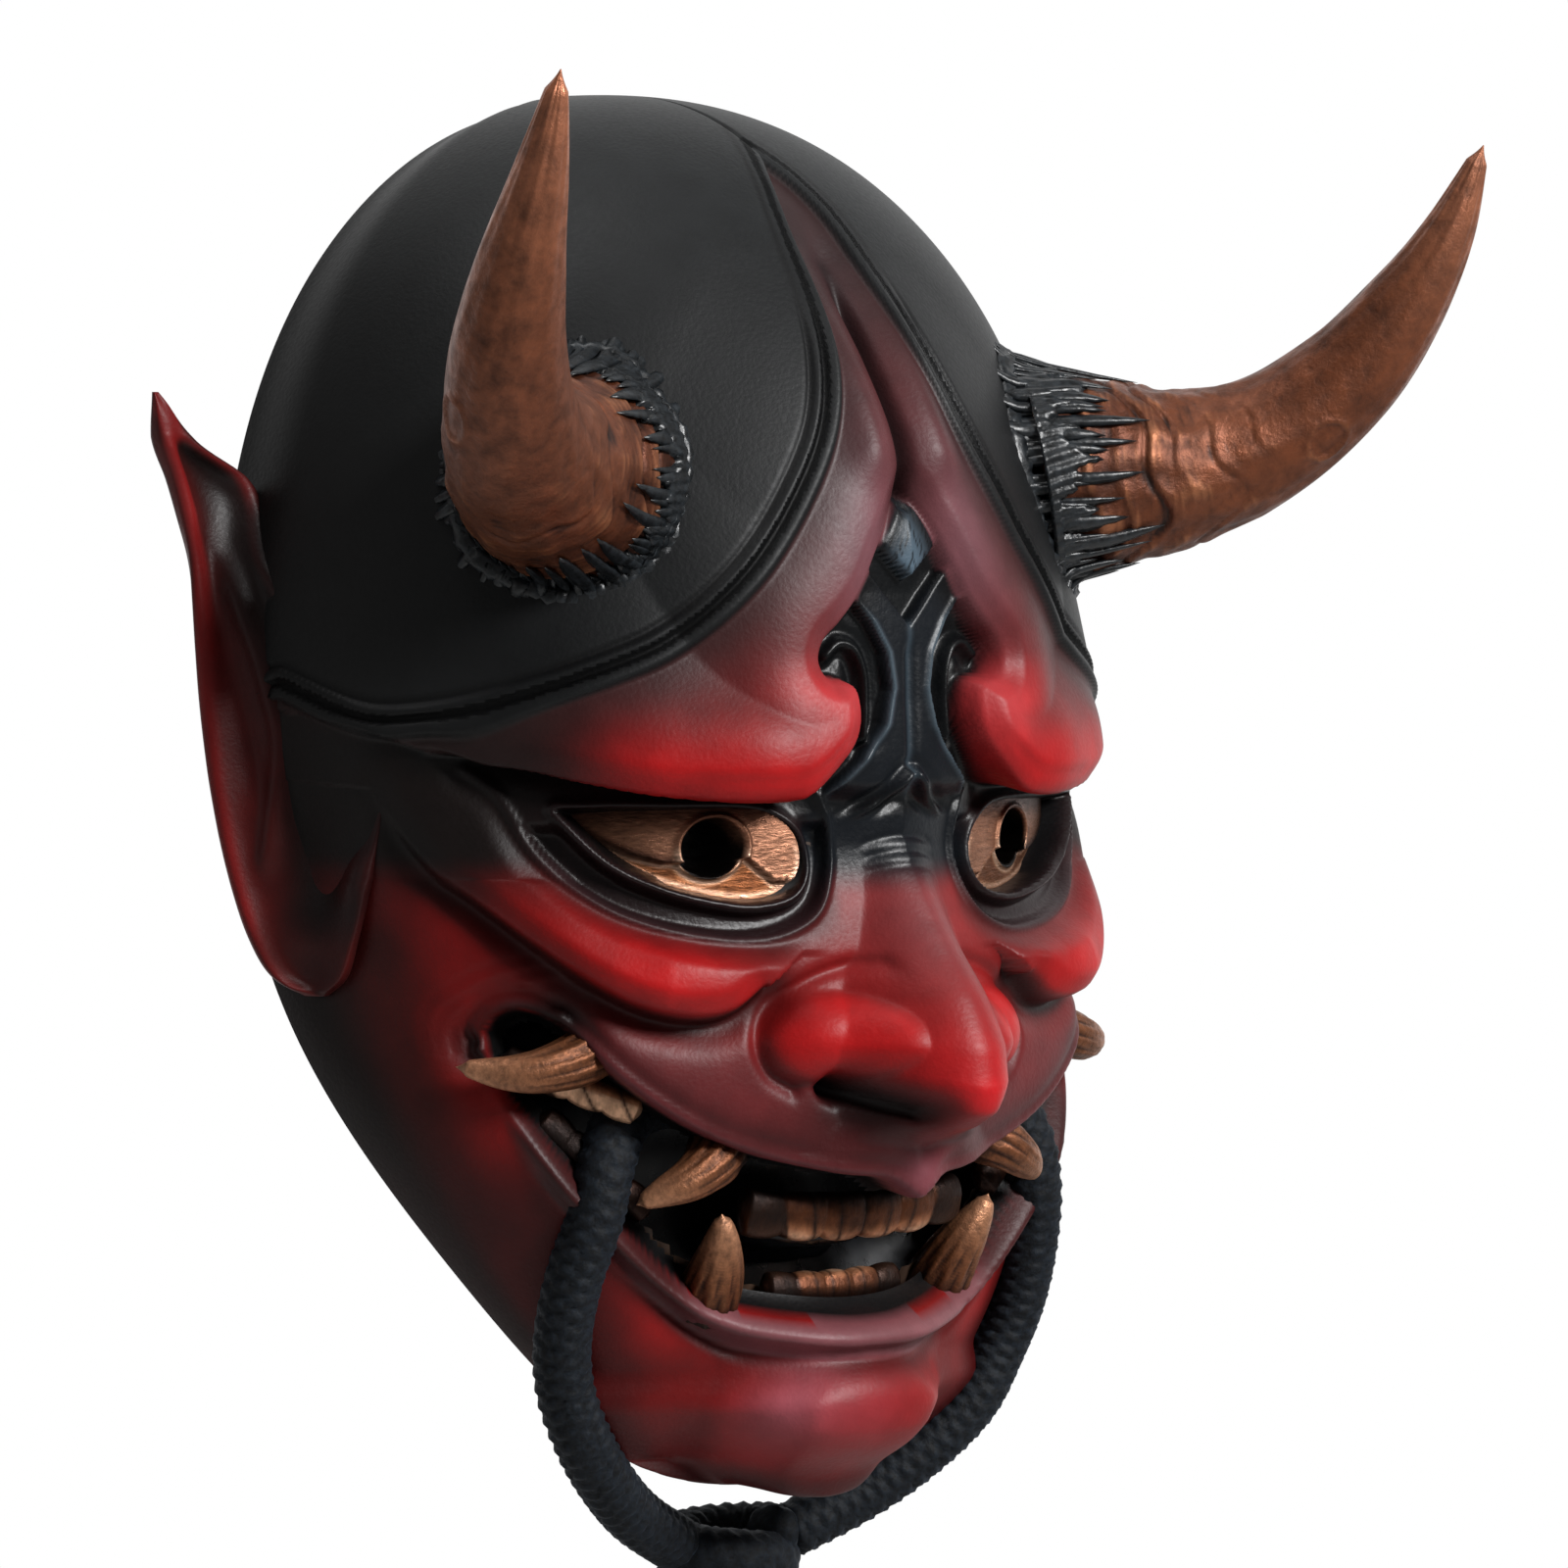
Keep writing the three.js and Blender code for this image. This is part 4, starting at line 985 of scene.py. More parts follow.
lid_line = np.stack([HALF_WIDE * 1.02 * np.sin(EYE.points[:-1, 0] / HALF_WIDE), EYE.points[:-1, 1]], axis=1)
lid_angle = np.arctan2(lid_line[:, 1], lid_line[:, 0] - PUPIL_X)
lid_reach = np.hypot(lid_line[:, 1], lid_line[:, 0] - PUPIL_X)
order = np.argsort(lid_angle)
for hand, side in (("right", -1), ("left", 1)):
    plate_form = bmesh.new()
    bmesh.ops.create_grid(plate_form, x_segments=70, y_segments=160, size=1.0)
    flat = points_of(plate_form)
    share, angle = (flat[:, 0] + 1) / 2, flat[:, 1] * math.pi
    border = np.interp(angle, lid_angle[order], lid_reach[order], period=2 * math.pi) + 1.1
    away = PUPIL_R + (border - PUPIL_R) * np.clip((share - 0.06) / 0.94, 0, 1)
    away -= 3.1 * np.clip(1 - share / 0.06, 0, 1)
    x = PUPIL_X + away * np.cos(angle)
    z = away * np.sin(angle)
    girth = HALF_WIDE * np.arcsin(np.clip(x / (head_width(z) - 5), -0.99, 0.99))
    above = z - plate_ridge(girth)
    step = ease((above + 0.25) / 0.5)
    belly = 1.5 * bell(np.hypot((girth - 40) / 2.4, z - 2.5), 7) * step
    rim_ring = 0.55 * bell(away - PUPIL_R - 0.5, 0.45)
    lift = 0.9 * step + belly * 0.8 + 0.35 * bell(above, 0.35) + rim_ring
    plate_skin = on_head(girth, z, 5.2)
    plate_skin[:, 1] -= lift
    sunk = share < 0.06
    plate_skin[sunk, 1] += 12.5 * (1 - share[sunk] / 0.06)
    move_points(plate_form, mirror_points(plate_skin, side))
    bmesh.ops.remove_doubles(plate_form, verts=plate_form.verts, dist=1e-7)
    bmesh.ops.recalc_face_normals(plate_form, faces=plate_form.faces)
    if sum(f.normal.y for f in plate_form.faces) > 0:
        bmesh.ops.reverse_faces(plate_form, faces=plate_form.faces)
    plate_points = millimetres_of(plate_form)
    x, z = np.abs(plate_points[:, 0]), plate_points[:, 2]
    girth = HALF_WIDE * np.arcsin(np.clip(x / (head_width(z) - 5), -0.99, 0.99))
    above, away = z - plate_ridge(girth), np.hypot(x - PUPIL_X, z)
    edge, _, _ = EYE.read(girth, z)
    edge = np.where(EYE.holds(girth, z), edge, 0)
    tone = np.tile(np.array([168.0, 118, 92]), (len(x), 1))
    tone = shade(0.7 * ease((girth - 38) / 20), tone, (92, 60, 44))
    # painted shade across the plate's top, under the upper lid
    tone = shade(0.85 * ease((z - 3.0 - 0.02 * (40 - girth)) / 3.4), tone, (58, 32, 22))
    tone = shade(0.9 * ease((0.1 - above) / 0.4), tone, (110, 62, 32))
    # painted shade in the groove over the ridge
    tone = shade(0.8 * bell(above - 0.9, 0.6) * ease((girth - 37) / 4), tone, (46, 24, 16))
    # painted highlights on the ridge, along the lower border and round the hole's lower rim
    tone = shade(0.95 * bell(above + 0.1, 0.35), tone, (240, 190, 160))
    tone = shade(0.9 * bell(edge - 0.9, 0.5) * ease((2 - z) / 3), tone, (240, 190, 160))
    tone = shade(0.95 * bell(away - PUPIL_R - 0.5, 0.45) * ease((1 - z) / 2), tone, (250, 205, 175))
    # painted shade: the sight hole's sunk bore is painted black
    tone = shade(0.95 * ease((PUPIL_R + 0.15 - away) / 0.3), tone, (12, 9, 8))
    plate = new_piece("eye_plate_leaf_" + hand, plate_form, eye_leaf)
    lay_paint(plate, tone, np.full(len(tone), 0.3))
    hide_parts("eye_plate_" + hand)

# ---- mouth cup and tongue -----------------------------------------------------------------------
# A black lacquered cup closes the mouth behind the teeth, glued to the inner wall. The tongue is a
# flat black ledge in it with a raised edge.
# Deep black lacquer with a cool gleam and faint brush marks.
mouth_lacquer = mottled(
    "black_lacquer", 180, 6, (0.3, (0.002, 0.002, 0.003)), (0.8, (0.014, 0.016, 0.021)),
    rough=(0.16, 0.42), bump=(0.3, 0.0003),
)
cup_form = bmesh.new()
bmesh.ops.create_grid(cup_form, x_segments=90, y_segments=60, size=1.0)
flat = points_of(cup_form)
u, v = flat[:, 0], flat[:, 1]
girth, height = head_place(0.78 * u, -0.52 + 0.3 * v, 0.62)
cup_skin = on_head(girth, height, 8.2)
palate = 0.8 * np.sin(v * 16) * bell(v - 0.5, 0.5) * bell(u, 0.5)
cup_skin[:, 1] += 29.5 * (1 - u**4) * (1 - v**4) * (0.75 + 0.25 * v) + palate * (1 - u**4) * (1 - v**4)
move_points(cup_form, cup_skin)
bmesh.ops.recalc_face_normals(cup_form, faces=cup_form.faces)
bmesh.ops.solidify(cup_form, geom=cup_form.faces, thickness=0.0018)
bmesh.ops.recalc_face_normals(cup_form, faces=cup_form.faces)
cup = new_piece("mouth_cup_lacquer", cup_form, mouth_lacquer)
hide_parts("mouth_cup")

tongue_line = through([(0, -44, -68.5), (0, -50, -65), (0, -56, -64.4), (0, -61, -66.5)], 60)


def tongue_reach(share, angle):
    wide = np.interp(share, [0, 0.1, 0.6, 0.85, 0.96, 1], [9, 15, 15.5, 13, 8.5, 3])
    thin = np.interp(share, [0, 0.1, 0.8, 1], [3, 4.6, 3.4, 1.2])
    groove = 1 - 0.35 * bell(np.abs(angle - math.pi / 2), 0.25)
    lip = 1 + 0.12 * bell(np.abs(np.cos(angle)) - 0.92, 0.06)
    return lip / np.sqrt((np.cos(angle) / wide) ** 2 + (np.sin(angle) / (thin * groove)) ** 2)


tongue = new_piece("tongue_lacquer", sleeve(tongue_line, tongue_reach, 72, (1, 0, 0)), mouth_lacquer)
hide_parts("tongue")

# ---- teeth --------------------------------------------------------------------------------------
# Carved rows, gilt: each is one curved bar scored into teeth, bedded on the wall behind the lips.
tooth_leaf = bronze_leaf("tooth_leaf", (500, 500, 260), 0.7, 0.38)


def on_jaw(angle, z, depth):
    """A point of the row the teeth stand in: depth in from the head's plain form."""
    back_y = head_setback(z)
    deep = head_depth(z) - depth
    return np.stack(
        [(head_width(z) - depth) * np.sin(angle), -(back_y + (deep - back_y) * np.cos(angle)), z], axis=-1
    )


def tooth_bar(start, stop, count, level, crown, gum, depth, fat, side=1):
    """One row: the bar's middle follows level(angle); crown is how far the teeth stand from it,
    below for an upper row, gum how far it goes the other way, fat its half thickness."""
    angle = np.linspace(start, stop, 26 * count + 1)
    middle = mirror_points(on_jaw(angle, level(angle), depth), side)
    length = route_length(middle)
    up = 1 if crown > 0 else -1

    def reach(share, turn):
        beside = np.abs(np.sin(math.pi * share * count))
        bite = abs(crown) * (0.78 + 0.22 * beside**0.6)
        ends = np.minimum(1, np.minimum(share, 1 - share) * length / 1.6 + 0.25)
        toward = np.cos(turn) * up
        tall = np.where(toward > 0, bite, gum)
        thick = fat * (0.86 + 0.14 * beside**0.6) * np.where(toward > 0, 1 - 0.25 * toward, 1)
        squarish = np.abs(np.cos(turn) / tall) ** 3 + np.abs(np.sin(turn) / thick) ** 3
        return ends / squarish ** (1 / 3)

    form = sleeve(middle, reach, 36)
    points = millimetres_of(form)
    points_angle = np.arctan2(points[:, 0] * side, -points[:, 1] - head_setback(points[:, 2]))
    near = np.argmin(np.abs(points_angle[:, None] - angle[None]), axis=1)
    rise_to = (points[:, 2] - middle[near, 2]) * up / abs(crown)
    score = 1 - np.abs(np.sin(math.pi * count * near / (len(angle) - 1)))
    # painted highlight towards the teeth's tips, painted shade in the scores between them and on the gum
    # side
    tone = np.tile(np.array([92.0, 50, 27]), (len(points), 1))
    tone = shade(0.9 * ease((rise_to - 0.35) / 0.5), tone, (190, 128, 92))
    tone = shade(0.95 * ease((rise_to - 0.82) / 0.16), tone, (236, 186, 150))
    tone = shade(0.8 * score**4, tone, (26, 13, 8))
    tone = shade(0.7 * ease(-rise_to / 0.6), tone, (24, 12, 9))
    return form, tone


rows = (
    ("upper_teeth", -0.4, 0.4, 6, lambda a: -61.4 + 9 * (1 - np.cos(a * 1.6)), -4.6, 3.6, 4.2, 2.9, 1),
    ("lower_teeth", -0.3, 0.3, 5, lambda a: -74.0 + 5 * (1 - np.cos(a * 1.5)), 2.6, 3.0, 6.0, 2.4, 1),
    ("upper_cheek_teeth_left", 0.66, 1.0, 4, lambda a: -43 + 26 * (a - 0.66), -2.8, 2.6, 5.6, 2.1, 1),
    ("upper_cheek_teeth_right", 0.66, 1.0, 4, lambda a: -43 + 26 * (a - 0.66), -2.8, 2.6, 5.6, 2.1, -1),
    ("lower_cheek_teeth_left", 0.68, 0.95, 4, lambda a: -64 + 62 * (a - 0.62), 2.8, 2.6, 6.6, 2.1, 1),
    ("lower_cheek_teeth_right", 0.68, 0.95, 4, lambda a: -64 + 62 * (a - 0.62), 2.8, 2.6, 6.6, 2.1, -1),
)
for name, start, stop, count, level, crown, gum, depth, fat, side in rows:
    form, tone = tooth_bar(start, stop, count, level, crown, gum, depth, fat, side)
    row = new_piece(name + "_leaf", form, tooth_leaf)
    lay_paint(row, tone, np.full(len(tone), 0.4))
    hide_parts(name)

# ---- fangs --------------------------------------------------------------------------------------
# Six separate fangs, each a gilt peg let into the jaw: fluted at the root, with a painted highlight
# at the tip and painted shade in the flutes and at the root.


def beside_route(form, route, every):
    """For each point of a form, its share along the route and how far out from it it stands. The
    route is tried at every so many of its points."""
    points = millimetres_of(form)
    near = np.argmin(np.linalg.norm(points[:, None] - route[None, ::every], axis=2), axis=1) * every
    return near / (len(route) - 1), np.linalg.norm(points - route[near], axis=1)


fang_leaf = bronze_leaf("fang_leaf", (650, 650, 650), 0.62, 0.4)
FANGS = (
    ("corner_fang", 4.7, (0, 0, 1),
     [(45, -57, -31), (50, -60, -33), (57, -60.5, -35), (63.5, -57, -36), (70, -50, -35)]),
    ("upper_fang", 4.6, (0, 0, 1),
     [(27, -65.5, -49), (32, -69, -51.5), (36.5, -69, -54), (40.5, -67, -56), (44, -64.5, -58)]),
    ("lower_fang", 5.2, (1, 0, 0),
     [(25.5, -59.5, -76.5), (26, -62.5, -72), (27, -65.5, -67.5), (28.5, -68, -63), (29.5, -69, -60)]),
)
for name, root, first_side, line in FANGS:
    for hand, side in (("right", -1), ("left", 1)):
        route = mirror_points(through(line, 110), side)

        def fang_reach(share, angle):
            body = root * (1 - share) ** 0.66 * (1 + 0.28 * share) + 0.4
            flutes = 0.22 * np.sin(angle * 11 + 5 * share) + 0.12 * np.sin(angle * 23 - 9 * share)
            end = np.minimum(1, (1 - share) * 14 + 0.1)
            return (body + flutes * ease((0.85 - share) / 0.7)) * end

        form = sleeve(route, fang_reach, 66, first_side)
        spot, out_from = beside_route(form, route, 3)
        body = root * (1 - spot) ** 0.66 * (1 + 0.28 * spot) + 0.4
        tone = np.tile(np.array([120.0, 72, 44]), (len(spot), 1))
        # painted shade in the flutes and at the root, painted highlight towards the tip
        tone = shade(0.9 * ease((body + 0.02 - out_from) / 0.3), tone, (44, 22, 13))
        tone = shade(0.75 * ease((spot - 0.3) / 0.7), tone, (212, 156, 120))
        tone = shade(0.85 * ease((0.3 - spot) / 0.25), tone, (34, 17, 11))
        fang = new_piece(name + "_leaf_" + hand, form, fang_leaf)
        lay_paint(fang, tone, np.full(len(tone), 0.4))
        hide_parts(name + "_" + hand)

# ---- horns --------------------------------------------------------------------------------------
# Two carved horns, bronze over lacquer: wrinkled and cracked at the root, smooth at the tip, which
# carries a painted highlight. Each is pegged into the skull and pulled tight by a screw from inside.
HORN_SEAT = (54.0, -59.0, 61.0)
HORN_LINE = [
    (50.5, -56.6, 60.4), HORN_SEAT, (70, -70, 62.5), (82.5, -80, 68), (92, -90, 79),
    (97, -98.5, 92), (99.5, -105.5, 105), (101, -111, 120),
]
horn_leaf = bronze_leaf("horn_leaf", (240, 240, 240), 0.55, 0.4, 0.0006)
horn_route = through(HORN_LINE, 260)
lean = np.linspace(0, 1, 260)[:, None] ** 2  # the two horns were not carved quite alike
horn_routes = {
    "right": horn_route + lean * np.array([0, -4.6, 2.4]),
    "left": horn_route + lean * np.array([0.5, -3.4, -2.8]),
}


def horn_body(share):
    """The horn's plain radius: stout at the root, drawn in above it and slim from the middle up."""
    return 17.6 * (1 - share) ** 0.85 * (1 - 0.12 * bell(share - 0.38, 0.22)) + 0.9


def horn_reach(share, angle):
    """Plain taper, then rings and cracks that die away towards the tip, and one old scar."""
    body = horn_body(share)
    low = ease((0.55 - share) / 0.45)
    wander = 0.05 * np.sin(angle * 2 + 1) + 0.03 * np.sin(angle * 5)
    rings = 0
    for place, deep in ((0.05, 0.9), (0.1, 0.7), (0.16, 0.6), (0.21, 0.5), (0.28, 0.45), (0.36, 0.35)):
        cut = share - place + wander * (0.4 + place)
        rings = rings - deep * bell(cut, 0.006) * ease((np.sin(angle + place * 40) + 0.7) / 0.9)
        rings = rings + 0.5 * deep * bell(cut - 0.014, 0.012)
    grain = 0.16 * np.sin(angle * 9 + 14 * share) + 0.1 * np.sin(angle * 17 - 23 * share)
    lumps = 0.35 * np.sin(share * 46 + 3 * np.sin(angle)) * np.sin(angle * 3 + 9 * share)
    off = np.hypot((share - 0.47) / 0.035, (np.mod(angle - 2.2 + math.pi, 2 * math.pi) - math.pi) / 0.32)
    scar = 0.35 * bell(off - 1, 0.22) - 0.3 * (off < 0.9)
    tip = np.minimum(1, (1 - share) * 30 + 0.1)
    return (body + low * (rings + lumps) + (0.4 + 0.6 * low) * grain + scar) * tip


for hand, side in (("right", -1), ("left", 1)):
    route = mirror_points(horn_routes[hand], side)
    form = sleeve(route, horn_reach, 128, (0, 0, 1))
    spot, out_from = beside_route(form, route, 4)
    body = horn_body(spot)
    tone = np.tile(np.array([112.0, 62, 38]), (len(spot), 1))
    # painted highlight towards the tip; the root is a darker bronze
    tone = shade(0.8 * ease((spot - 0.55) / 0.45), tone, (168, 108, 80))
    tone = shade(0.75 * ease((0.3 - spot) / 0.3), tone, (66, 30, 14))
    carved = ease((0.6 - spot) / 0.2)
    # painted shade in the rings and cracks, painted highlight on the raised carving
    tone = shade(0.85 * ease((body - 0.15 - out_from) / 0.6) * carved, tone, (26, 12, 8))
    tone = shade(0.5 * ease((out_from - body - 0.15) / 0.5) * carved, tone, (196, 132, 92))
    horn = new_piece("horn_leaf_" + hand, form, horn_leaf)
    lay_paint(horn, tone, np.full(len(tone), 0.4))
    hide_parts("horn_" + hand)

# ---- hair round the horns -----------------------------------------------------------------------
# Short black hair modelled round each horn's root: a low collar and pointed locks that lie up the
# horn, glued and lacquered.
# Black lacquered hair: fine strands that catch a cool light.
locks_lacquer = mottled(
    "hair_lacquer", 700, 5, (0.35, (0.0025, 0.003, 0.0035)), (0.75, (0.014, 0.018, 0.022)),
    rough=(0.22, 0.5), bump=(0.5, 0.0003),
)
LOCKS = 84
seat_x, seat_y, seat_z = HORN_SEAT
seat_girth = HALF_WIDE * math.atan2(seat_x / head_width(seat_z), -seat_y / head_depth(seat_z))


def on_skull(turn, far, lift):
    """A point on the hair cap: turn round the horn's seat, far from it in mm, lift above it."""
    girth = np.atleast_1d(seat_girth + far * np.cos(turn))
    height = np.atleast_1d(seat_z + far * np.sin(turn))
    return (on_head(girth, height) + head_normal(girth, height) * (1.4 + lift))[0]


def ragged_hair(share, angle):
    """Close hair on the horn's root, 42 of its 260 steps long: its ragged edge dips into the horn."""
    up = share * 0.16
    edge = 0.05 + 0.02 * np.sin(angle * 11 + 2 * np.sin(angle * 3)) + 0.014 * np.sin(angle * 23 + 1)
    edge = edge + 0.01 * np.sin(angle * 41)
    strands = 0.22 * np.sin(angle * 60 + share * 10 + 2 * np.sin(angle * 7))
    return horn_body(up) + 1.1 + strands - 3.0 * ease((up - edge) / 0.014)


def merged_in(form, other):
    """Adds the other form's mesh to the first."""
    carried = bpy.data.meshes.new("carried")
    other.to_mesh(carried)
    other.free()
    form.from_mesh(carried)
    bpy.data.meshes.remove(carried)


for hand, side in (("right", -1), ("left", 1)):
    random.seed(11 if side < 0 else 23)
    horn_line = horn_routes[hand]
    horn_way, _, _ = carried_frames(horn_line, (0, 0, 1))
    turns = np.linspace(0, 2 * math.pi, 97)
    collar_line = np.array([on_skull(t, 19.6 + 0.5 * math.sin(t * 7), -0.4) for t in turns])
    collar_line = mirror_points(collar_line, side)
    ring_form = sleeve(
        collar_line,
        lambda share, angle: (
            2.2 + 0.4 * np.sin(share * 2 * math.pi * 37 + 2 * angle) + 0.2 * np.sin(angle * 5)
        ),
        16,
    )
    ragged_form = sleeve(mirror_points(horn_line[:42], side), ragged_hair, 240, (0, 0, 1))
    merged_in(ring_form, ragged_form)
    for k in range(LOCKS):
        turn = 2 * math.pi * (k + random.uniform(-0.45, 0.45)) / LOCKS
        foot = on_skull(turn, random.uniform(21.5, 25.5), -0.9)
        crest = on_skull(turn + random.uniform(-0.04, 0.04), 19.4, random.uniform(0.8, 2.0))
        # the lock bends up on to the horn and lies along it
        down = random.uniform(0.03, 0.12) if k % 3 else random.uniform(0.1, 0.2)
        joins = []
        for up_share in (down * 0.5, down):
            at = int(round(up_share * 259))
            away = crest - horn_line[at]
            away -= horn_way[at] * (away @ horn_way[at])
            away /= np.linalg.norm(away)
            joins.append(horn_line[at] + away * (horn_body(up_share) + 0.6))
        line = mirror_points(through([foot, crest, joins[0], joins[1]], 9), side)
        width = random.uniform(0.9, 2.0)
        flat_side = np.cross(horn_way[8], away) * np.array([side, 1, 1])

        def lock(share, angle):
            leaf = width * np.sin(np.clip(share * 0.9 + 0.1, 0, 1) * math.pi) ** 0.8 + 0.06
            return leaf / np.sqrt(np.cos(angle) ** 2 + (np.sin(angle) / 0.4) ** 2)

        merged_in(ring_form, sleeve(line, lock, 7, flat_side))
    tuft = new_piece("horn_hair_" + hand, ring_form, locks_lacquer)
    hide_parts("horn_hair_ring_" + hand)

# ---- ears ---------------------------------------------------------------------------------------
# Long pointed ears, carved separately and glued into the sides of the shell: a thick rolled rim, a
# deep hollow with a fold down its middle, and a rounded lobe. Painted shade darkens the hollow, the
# front edge where it meets the head, and the back.
# Each row: height, then x and y of the front edge and of the free edge. Up to the head's own top
# of the ear the front edge is set 1 mm into the shell.
EAR_ROWS = [
    (-24.4, 78, -25, 78.5, -21.5), (-21, 78, -29, 80.4, -15), (-15, 78, -31, 82, -11),
    (-8, 78, -32.5, 83.4, -8.6), (0, 78, -34, 84.8, -7), (9, 78, -35.5, 86.2, -6),
    (16, 78, -35, 87, -5.4), (24, 78, -30.5, 87.8, -5), (32, 78, -25, 88.6, -5),
    (40, 78, -17.5, 89.4, -5), (47.4, 78, -11, 90.4, -5), (54, 78, -7.5, 92.6, -5.5),
    (60.3, 79, -5.6, 95, -6), (66.7, 90.4, -6.2, 98, -6.5), (74.6, 98, -7, 99, -7.2),
]
ear_paint = satin_paint("ear_paint")
ear_rows = through(EAR_ROWS, 190)
flank = np.linspace(62, 128, 133)
for ear_row in ear_rows:
    flank_line = on_head(flank, np.full(133, ear_row[0]), 1.0)
    set_in = ease((60 - ear_row[0]) / 6)
    shell_x = np.interp(ear_row[2], flank_line[:, 1], flank_line[:, 0])
    ear_row[1] = ear_row[1] * (1 - set_in) + shell_x * set_in
for hand, side in (("right", -1), ("left", 1)):
    ear_form = bmesh.new()
    bmesh.ops.create_grid(ear_form, x_segments=120, y_segments=189, size=1.0)
    flat = points_of(ear_form)
    around = (flat[:, 0] + 1) * math.pi
    row = np.rint((flat[:, 1] + 1) / 2 * 189).astype(int)
    level, root_x, root_y, free_x, free_y = ear_rows[row].T
    wide = np.hypot(free_x - root_x, free_y - root_y)
    turned, back_way = (free_x - root_x) / wide, (free_y - root_y) / wide
    across = (1 - np.sign(np.cos(around)) * np.abs(np.cos(around)) ** 0.75) / 2
    face_side = np.sin(around) > 0
    thick = 1.9 * np.minimum(1, wide / 7) * np.sign(np.sin(around)) * np.abs(np.sin(around)) ** 0.5
    cup_depth = 0.2 * wide * np.sin(math.pi * across)
    mm_across = across * wide
    up = (level + 24) / 99
    helix = 1.5 * bell(wide - mm_across - 1.8, 1.9)
    helix += 1.1 * bell(mm_across - 2.0, 2.2) * ease((up - 0.42) / 0.1)
    fold_at = np.interp(level, [-12, 0, 20, 36, 48], [0.86, 0.72, 0.6, 0.56, 0.5])
    antihelix = 1.8 * bell((across - fold_at) * wide, 2.0) * ease((level + 8) / 8) * ease((50 - level) / 10)
    concha = -2.2 * bell((across - 0.3) * wide, 4.5) * bell(level - 12, 16)
    tragus = 2.2 * bell(np.hypot(mm_across - 3.0, (level + 5) * 0.9), 4.5)
    lobe = 1.6 * bell(np.hypot((across - 0.5) * wide * 0.8, level + 17), 6)
    hollow_long = -1.2 * bell((across - 0.8) * wide, 1.8) * ease((level - 4) / 10) * ease((56 - level) / 8)
    relief = np.where(face_side, helix + antihelix + concha + tragus + lobe + hollow_long, 0)
    relief *= np.minimum(1, wide / 9) * np.abs(np.sin(around)) ** 0.3
    sunk = cup_depth * 0.9 - thick - relief
    ear_skin = np.stack(
        [
            root_x + mm_across * turned - sunk * back_way,
            root_y + mm_across * back_way + sunk * turned,
            level,
        ],
        axis=1,
    )
    move_points(ear_form, mirror_points(ear_skin, side))
    tone = np.tile(np.array([92.0, 18, 17]), (len(flat), 1))
    # painted shade in the ear's hollow
    hollow = np.where(face_side, 1, 0.3) * bell((across - 0.36) * wide, 0.3 * wide + 2)
    tone = shade(0.9 * hollow, tone, (13, 9, 8))
    inner_fold = np.where(face_side, antihelix / 1.8, 0) * ease((34 - level) / 20)
    tone = shade(0.8 * inner_fold, tone, (66, 16, 14))
    tone = shade(0.85 * np.where(face_side, ease((helix - 0.5) / 0.9), 0.35), tone, (118, 22, 22))
    tone = shade(0.6 * np.where(face_side, ease((tragus - 0.5) / 1.4), 0), tone, (104, 22, 20))
    # painted shade along the front edge where the ear meets the head
    upper_root_shade = ease((6 - mm_across) / 5) * ease((level - 24) / 14) * ease((60 - level) / 8)
    tone = shade(0.9 * upper_root_shade, tone, (16, 12, 12))
    lower_root_shade = ease((11 - mm_across) / 9) * ease((34 - level) / 10) * ease((level + 26) / 12)
    tone = shade(0.75 * lower_root_shade, tone, (28, 9, 9))
    tone = shade(0.6 * ease((-10 - level) / 8), tone, (76, 17, 15))
    # painted shade on the ear's back
    tone = shade(0.5 * np.where(face_side, 0, 1), tone, (40, 12, 11))
    ear_point = [tuple(t) for t in tone]
    paint_layer = ear_form.verts.layers.float_vector.new("tone")
    for v, t in zip(ear_form.verts, ear_point):
        v[paint_layer] = t
    bmesh.ops.remove_doubles(ear_form, verts=ear_form.verts, dist=1e-6)
    bmesh.ops.holes_fill(ear_form, edges=[e for e in ear_form.edges if e.is_boundary], sides=0)
    bmesh.ops.recalc_face_normals(ear_form, faces=ear_form.faces)
    tone = np.array([tuple(v[paint_layer]) for v in ear_form.verts])
    ear_form.verts.layers.float_vector.remove(paint_layer)
    ear = new_piece("ear_carving_" + hand, ear_form, ear_paint)
    lay_paint(ear, tone, np.full(len(tone), 0.36))
    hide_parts("ear_" + hand)

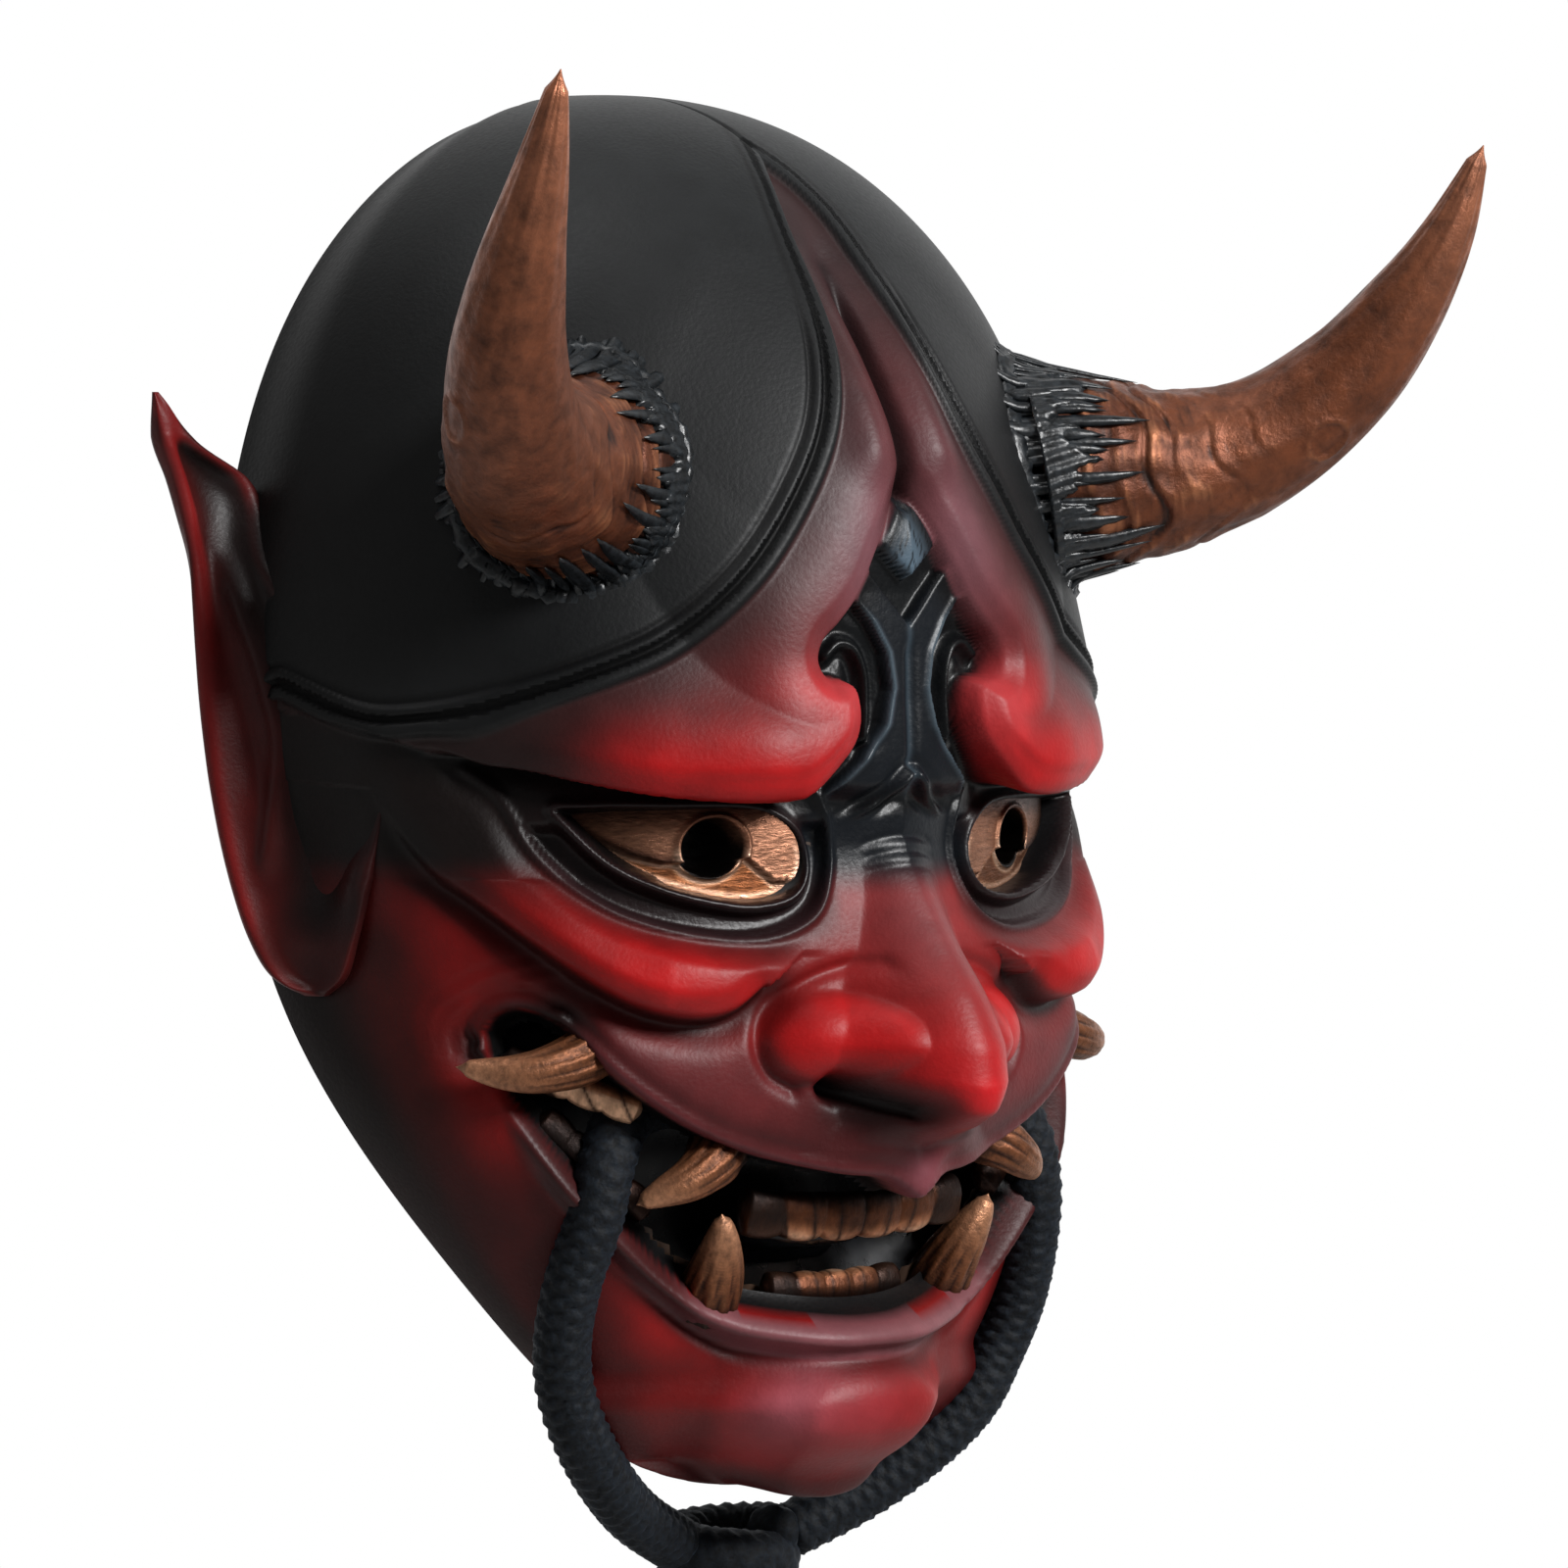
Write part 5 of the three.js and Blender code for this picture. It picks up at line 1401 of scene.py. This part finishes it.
# ---- pads and screws ----------------------------------------------------------------------------
# Inside, three grey felt pads are glued where the mask touches the forehead and the cheekbones,
# and a steel screw with its washer holds each horn.
# Pressed grey-brown wool felt, in two shades and with a soft nap.
wool = mottled(
    "felt_wool", 1400, 6, (0.3, (0.018, 0.016, 0.014)), (0.75, (0.085, 0.076, 0.066)),
    bump=(0.9, 0.0005), distortion=1.5, Roughness=0.95, Sheen_Weight=0.4,
)
# Plated steel, slightly dulled.
steel = mottled(
    "turned_steel", 900, 5, (0.0, (0.24, 0.24, 0.25)), (1.0, (0.5, 0.5, 0.5)),
    rough=(0.22, 0.5), Metallic=1.0,
)
for name, left, right, low, high in (
    ("forehead_pad", -0.3, 0.3, 0.5, 0.72),
    ("cheek_pad_left", 0.6, 0.8, -0.18, 0.12),
    ("cheek_pad_right", -0.8, -0.6, -0.18, 0.12),
):
    pad_form = bmesh.new()
    bmesh.ops.create_grid(pad_form, x_segments=48, y_segments=48, size=1.0)
    flat = points_of(pad_form)
    u, v = flat[:, 0], flat[:, 1]
    corner = np.clip(np.hypot(u, v) / np.maximum(np.maximum(np.abs(u), np.abs(v)), 1e-9), 1, 1.42)
    round_off = 1 - 0.09 * ((corner - 1) / 0.42) ** 2 * np.maximum(np.abs(u), np.abs(v)) ** 4
    girth, height = head_place(
        (left + right) / 2 + (right - left) / 2 * u * round_off * 0.985,
        (low + high) / 2 + (high - low) / 2 * v * round_off * 0.985,
        0.62,
    )
    edge = np.clip((1 - np.maximum(np.abs(u), np.abs(v))) / 0.1, 0, 1)
    puff = 4.4 * np.sqrt(1 - (1 - edge) ** 2) + 0.25 * np.sin(girth * 1.3) * np.sin(height * 1.1) * edge
    pad_skin = on_head(girth, height, WALL + 0.9 + puff)
    move_points(pad_form, pad_skin)
    bmesh.ops.recalc_face_normals(pad_form, faces=pad_form.faces)
    if sum(f.normal.y for f in pad_form.faces) < 0:
        bmesh.ops.reverse_faces(pad_form, faces=pad_form.faces)
    bmesh.ops.solidify(pad_form, geom=pad_form.faces, thickness=0.0006)
    pad = new_piece(name + "_felt", pad_form, wool)
    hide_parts(name)

for hand in ("right", "left"):
    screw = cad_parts["horn_screw_" + hand]
    for held in screw.material_slots:
        held.material = steel
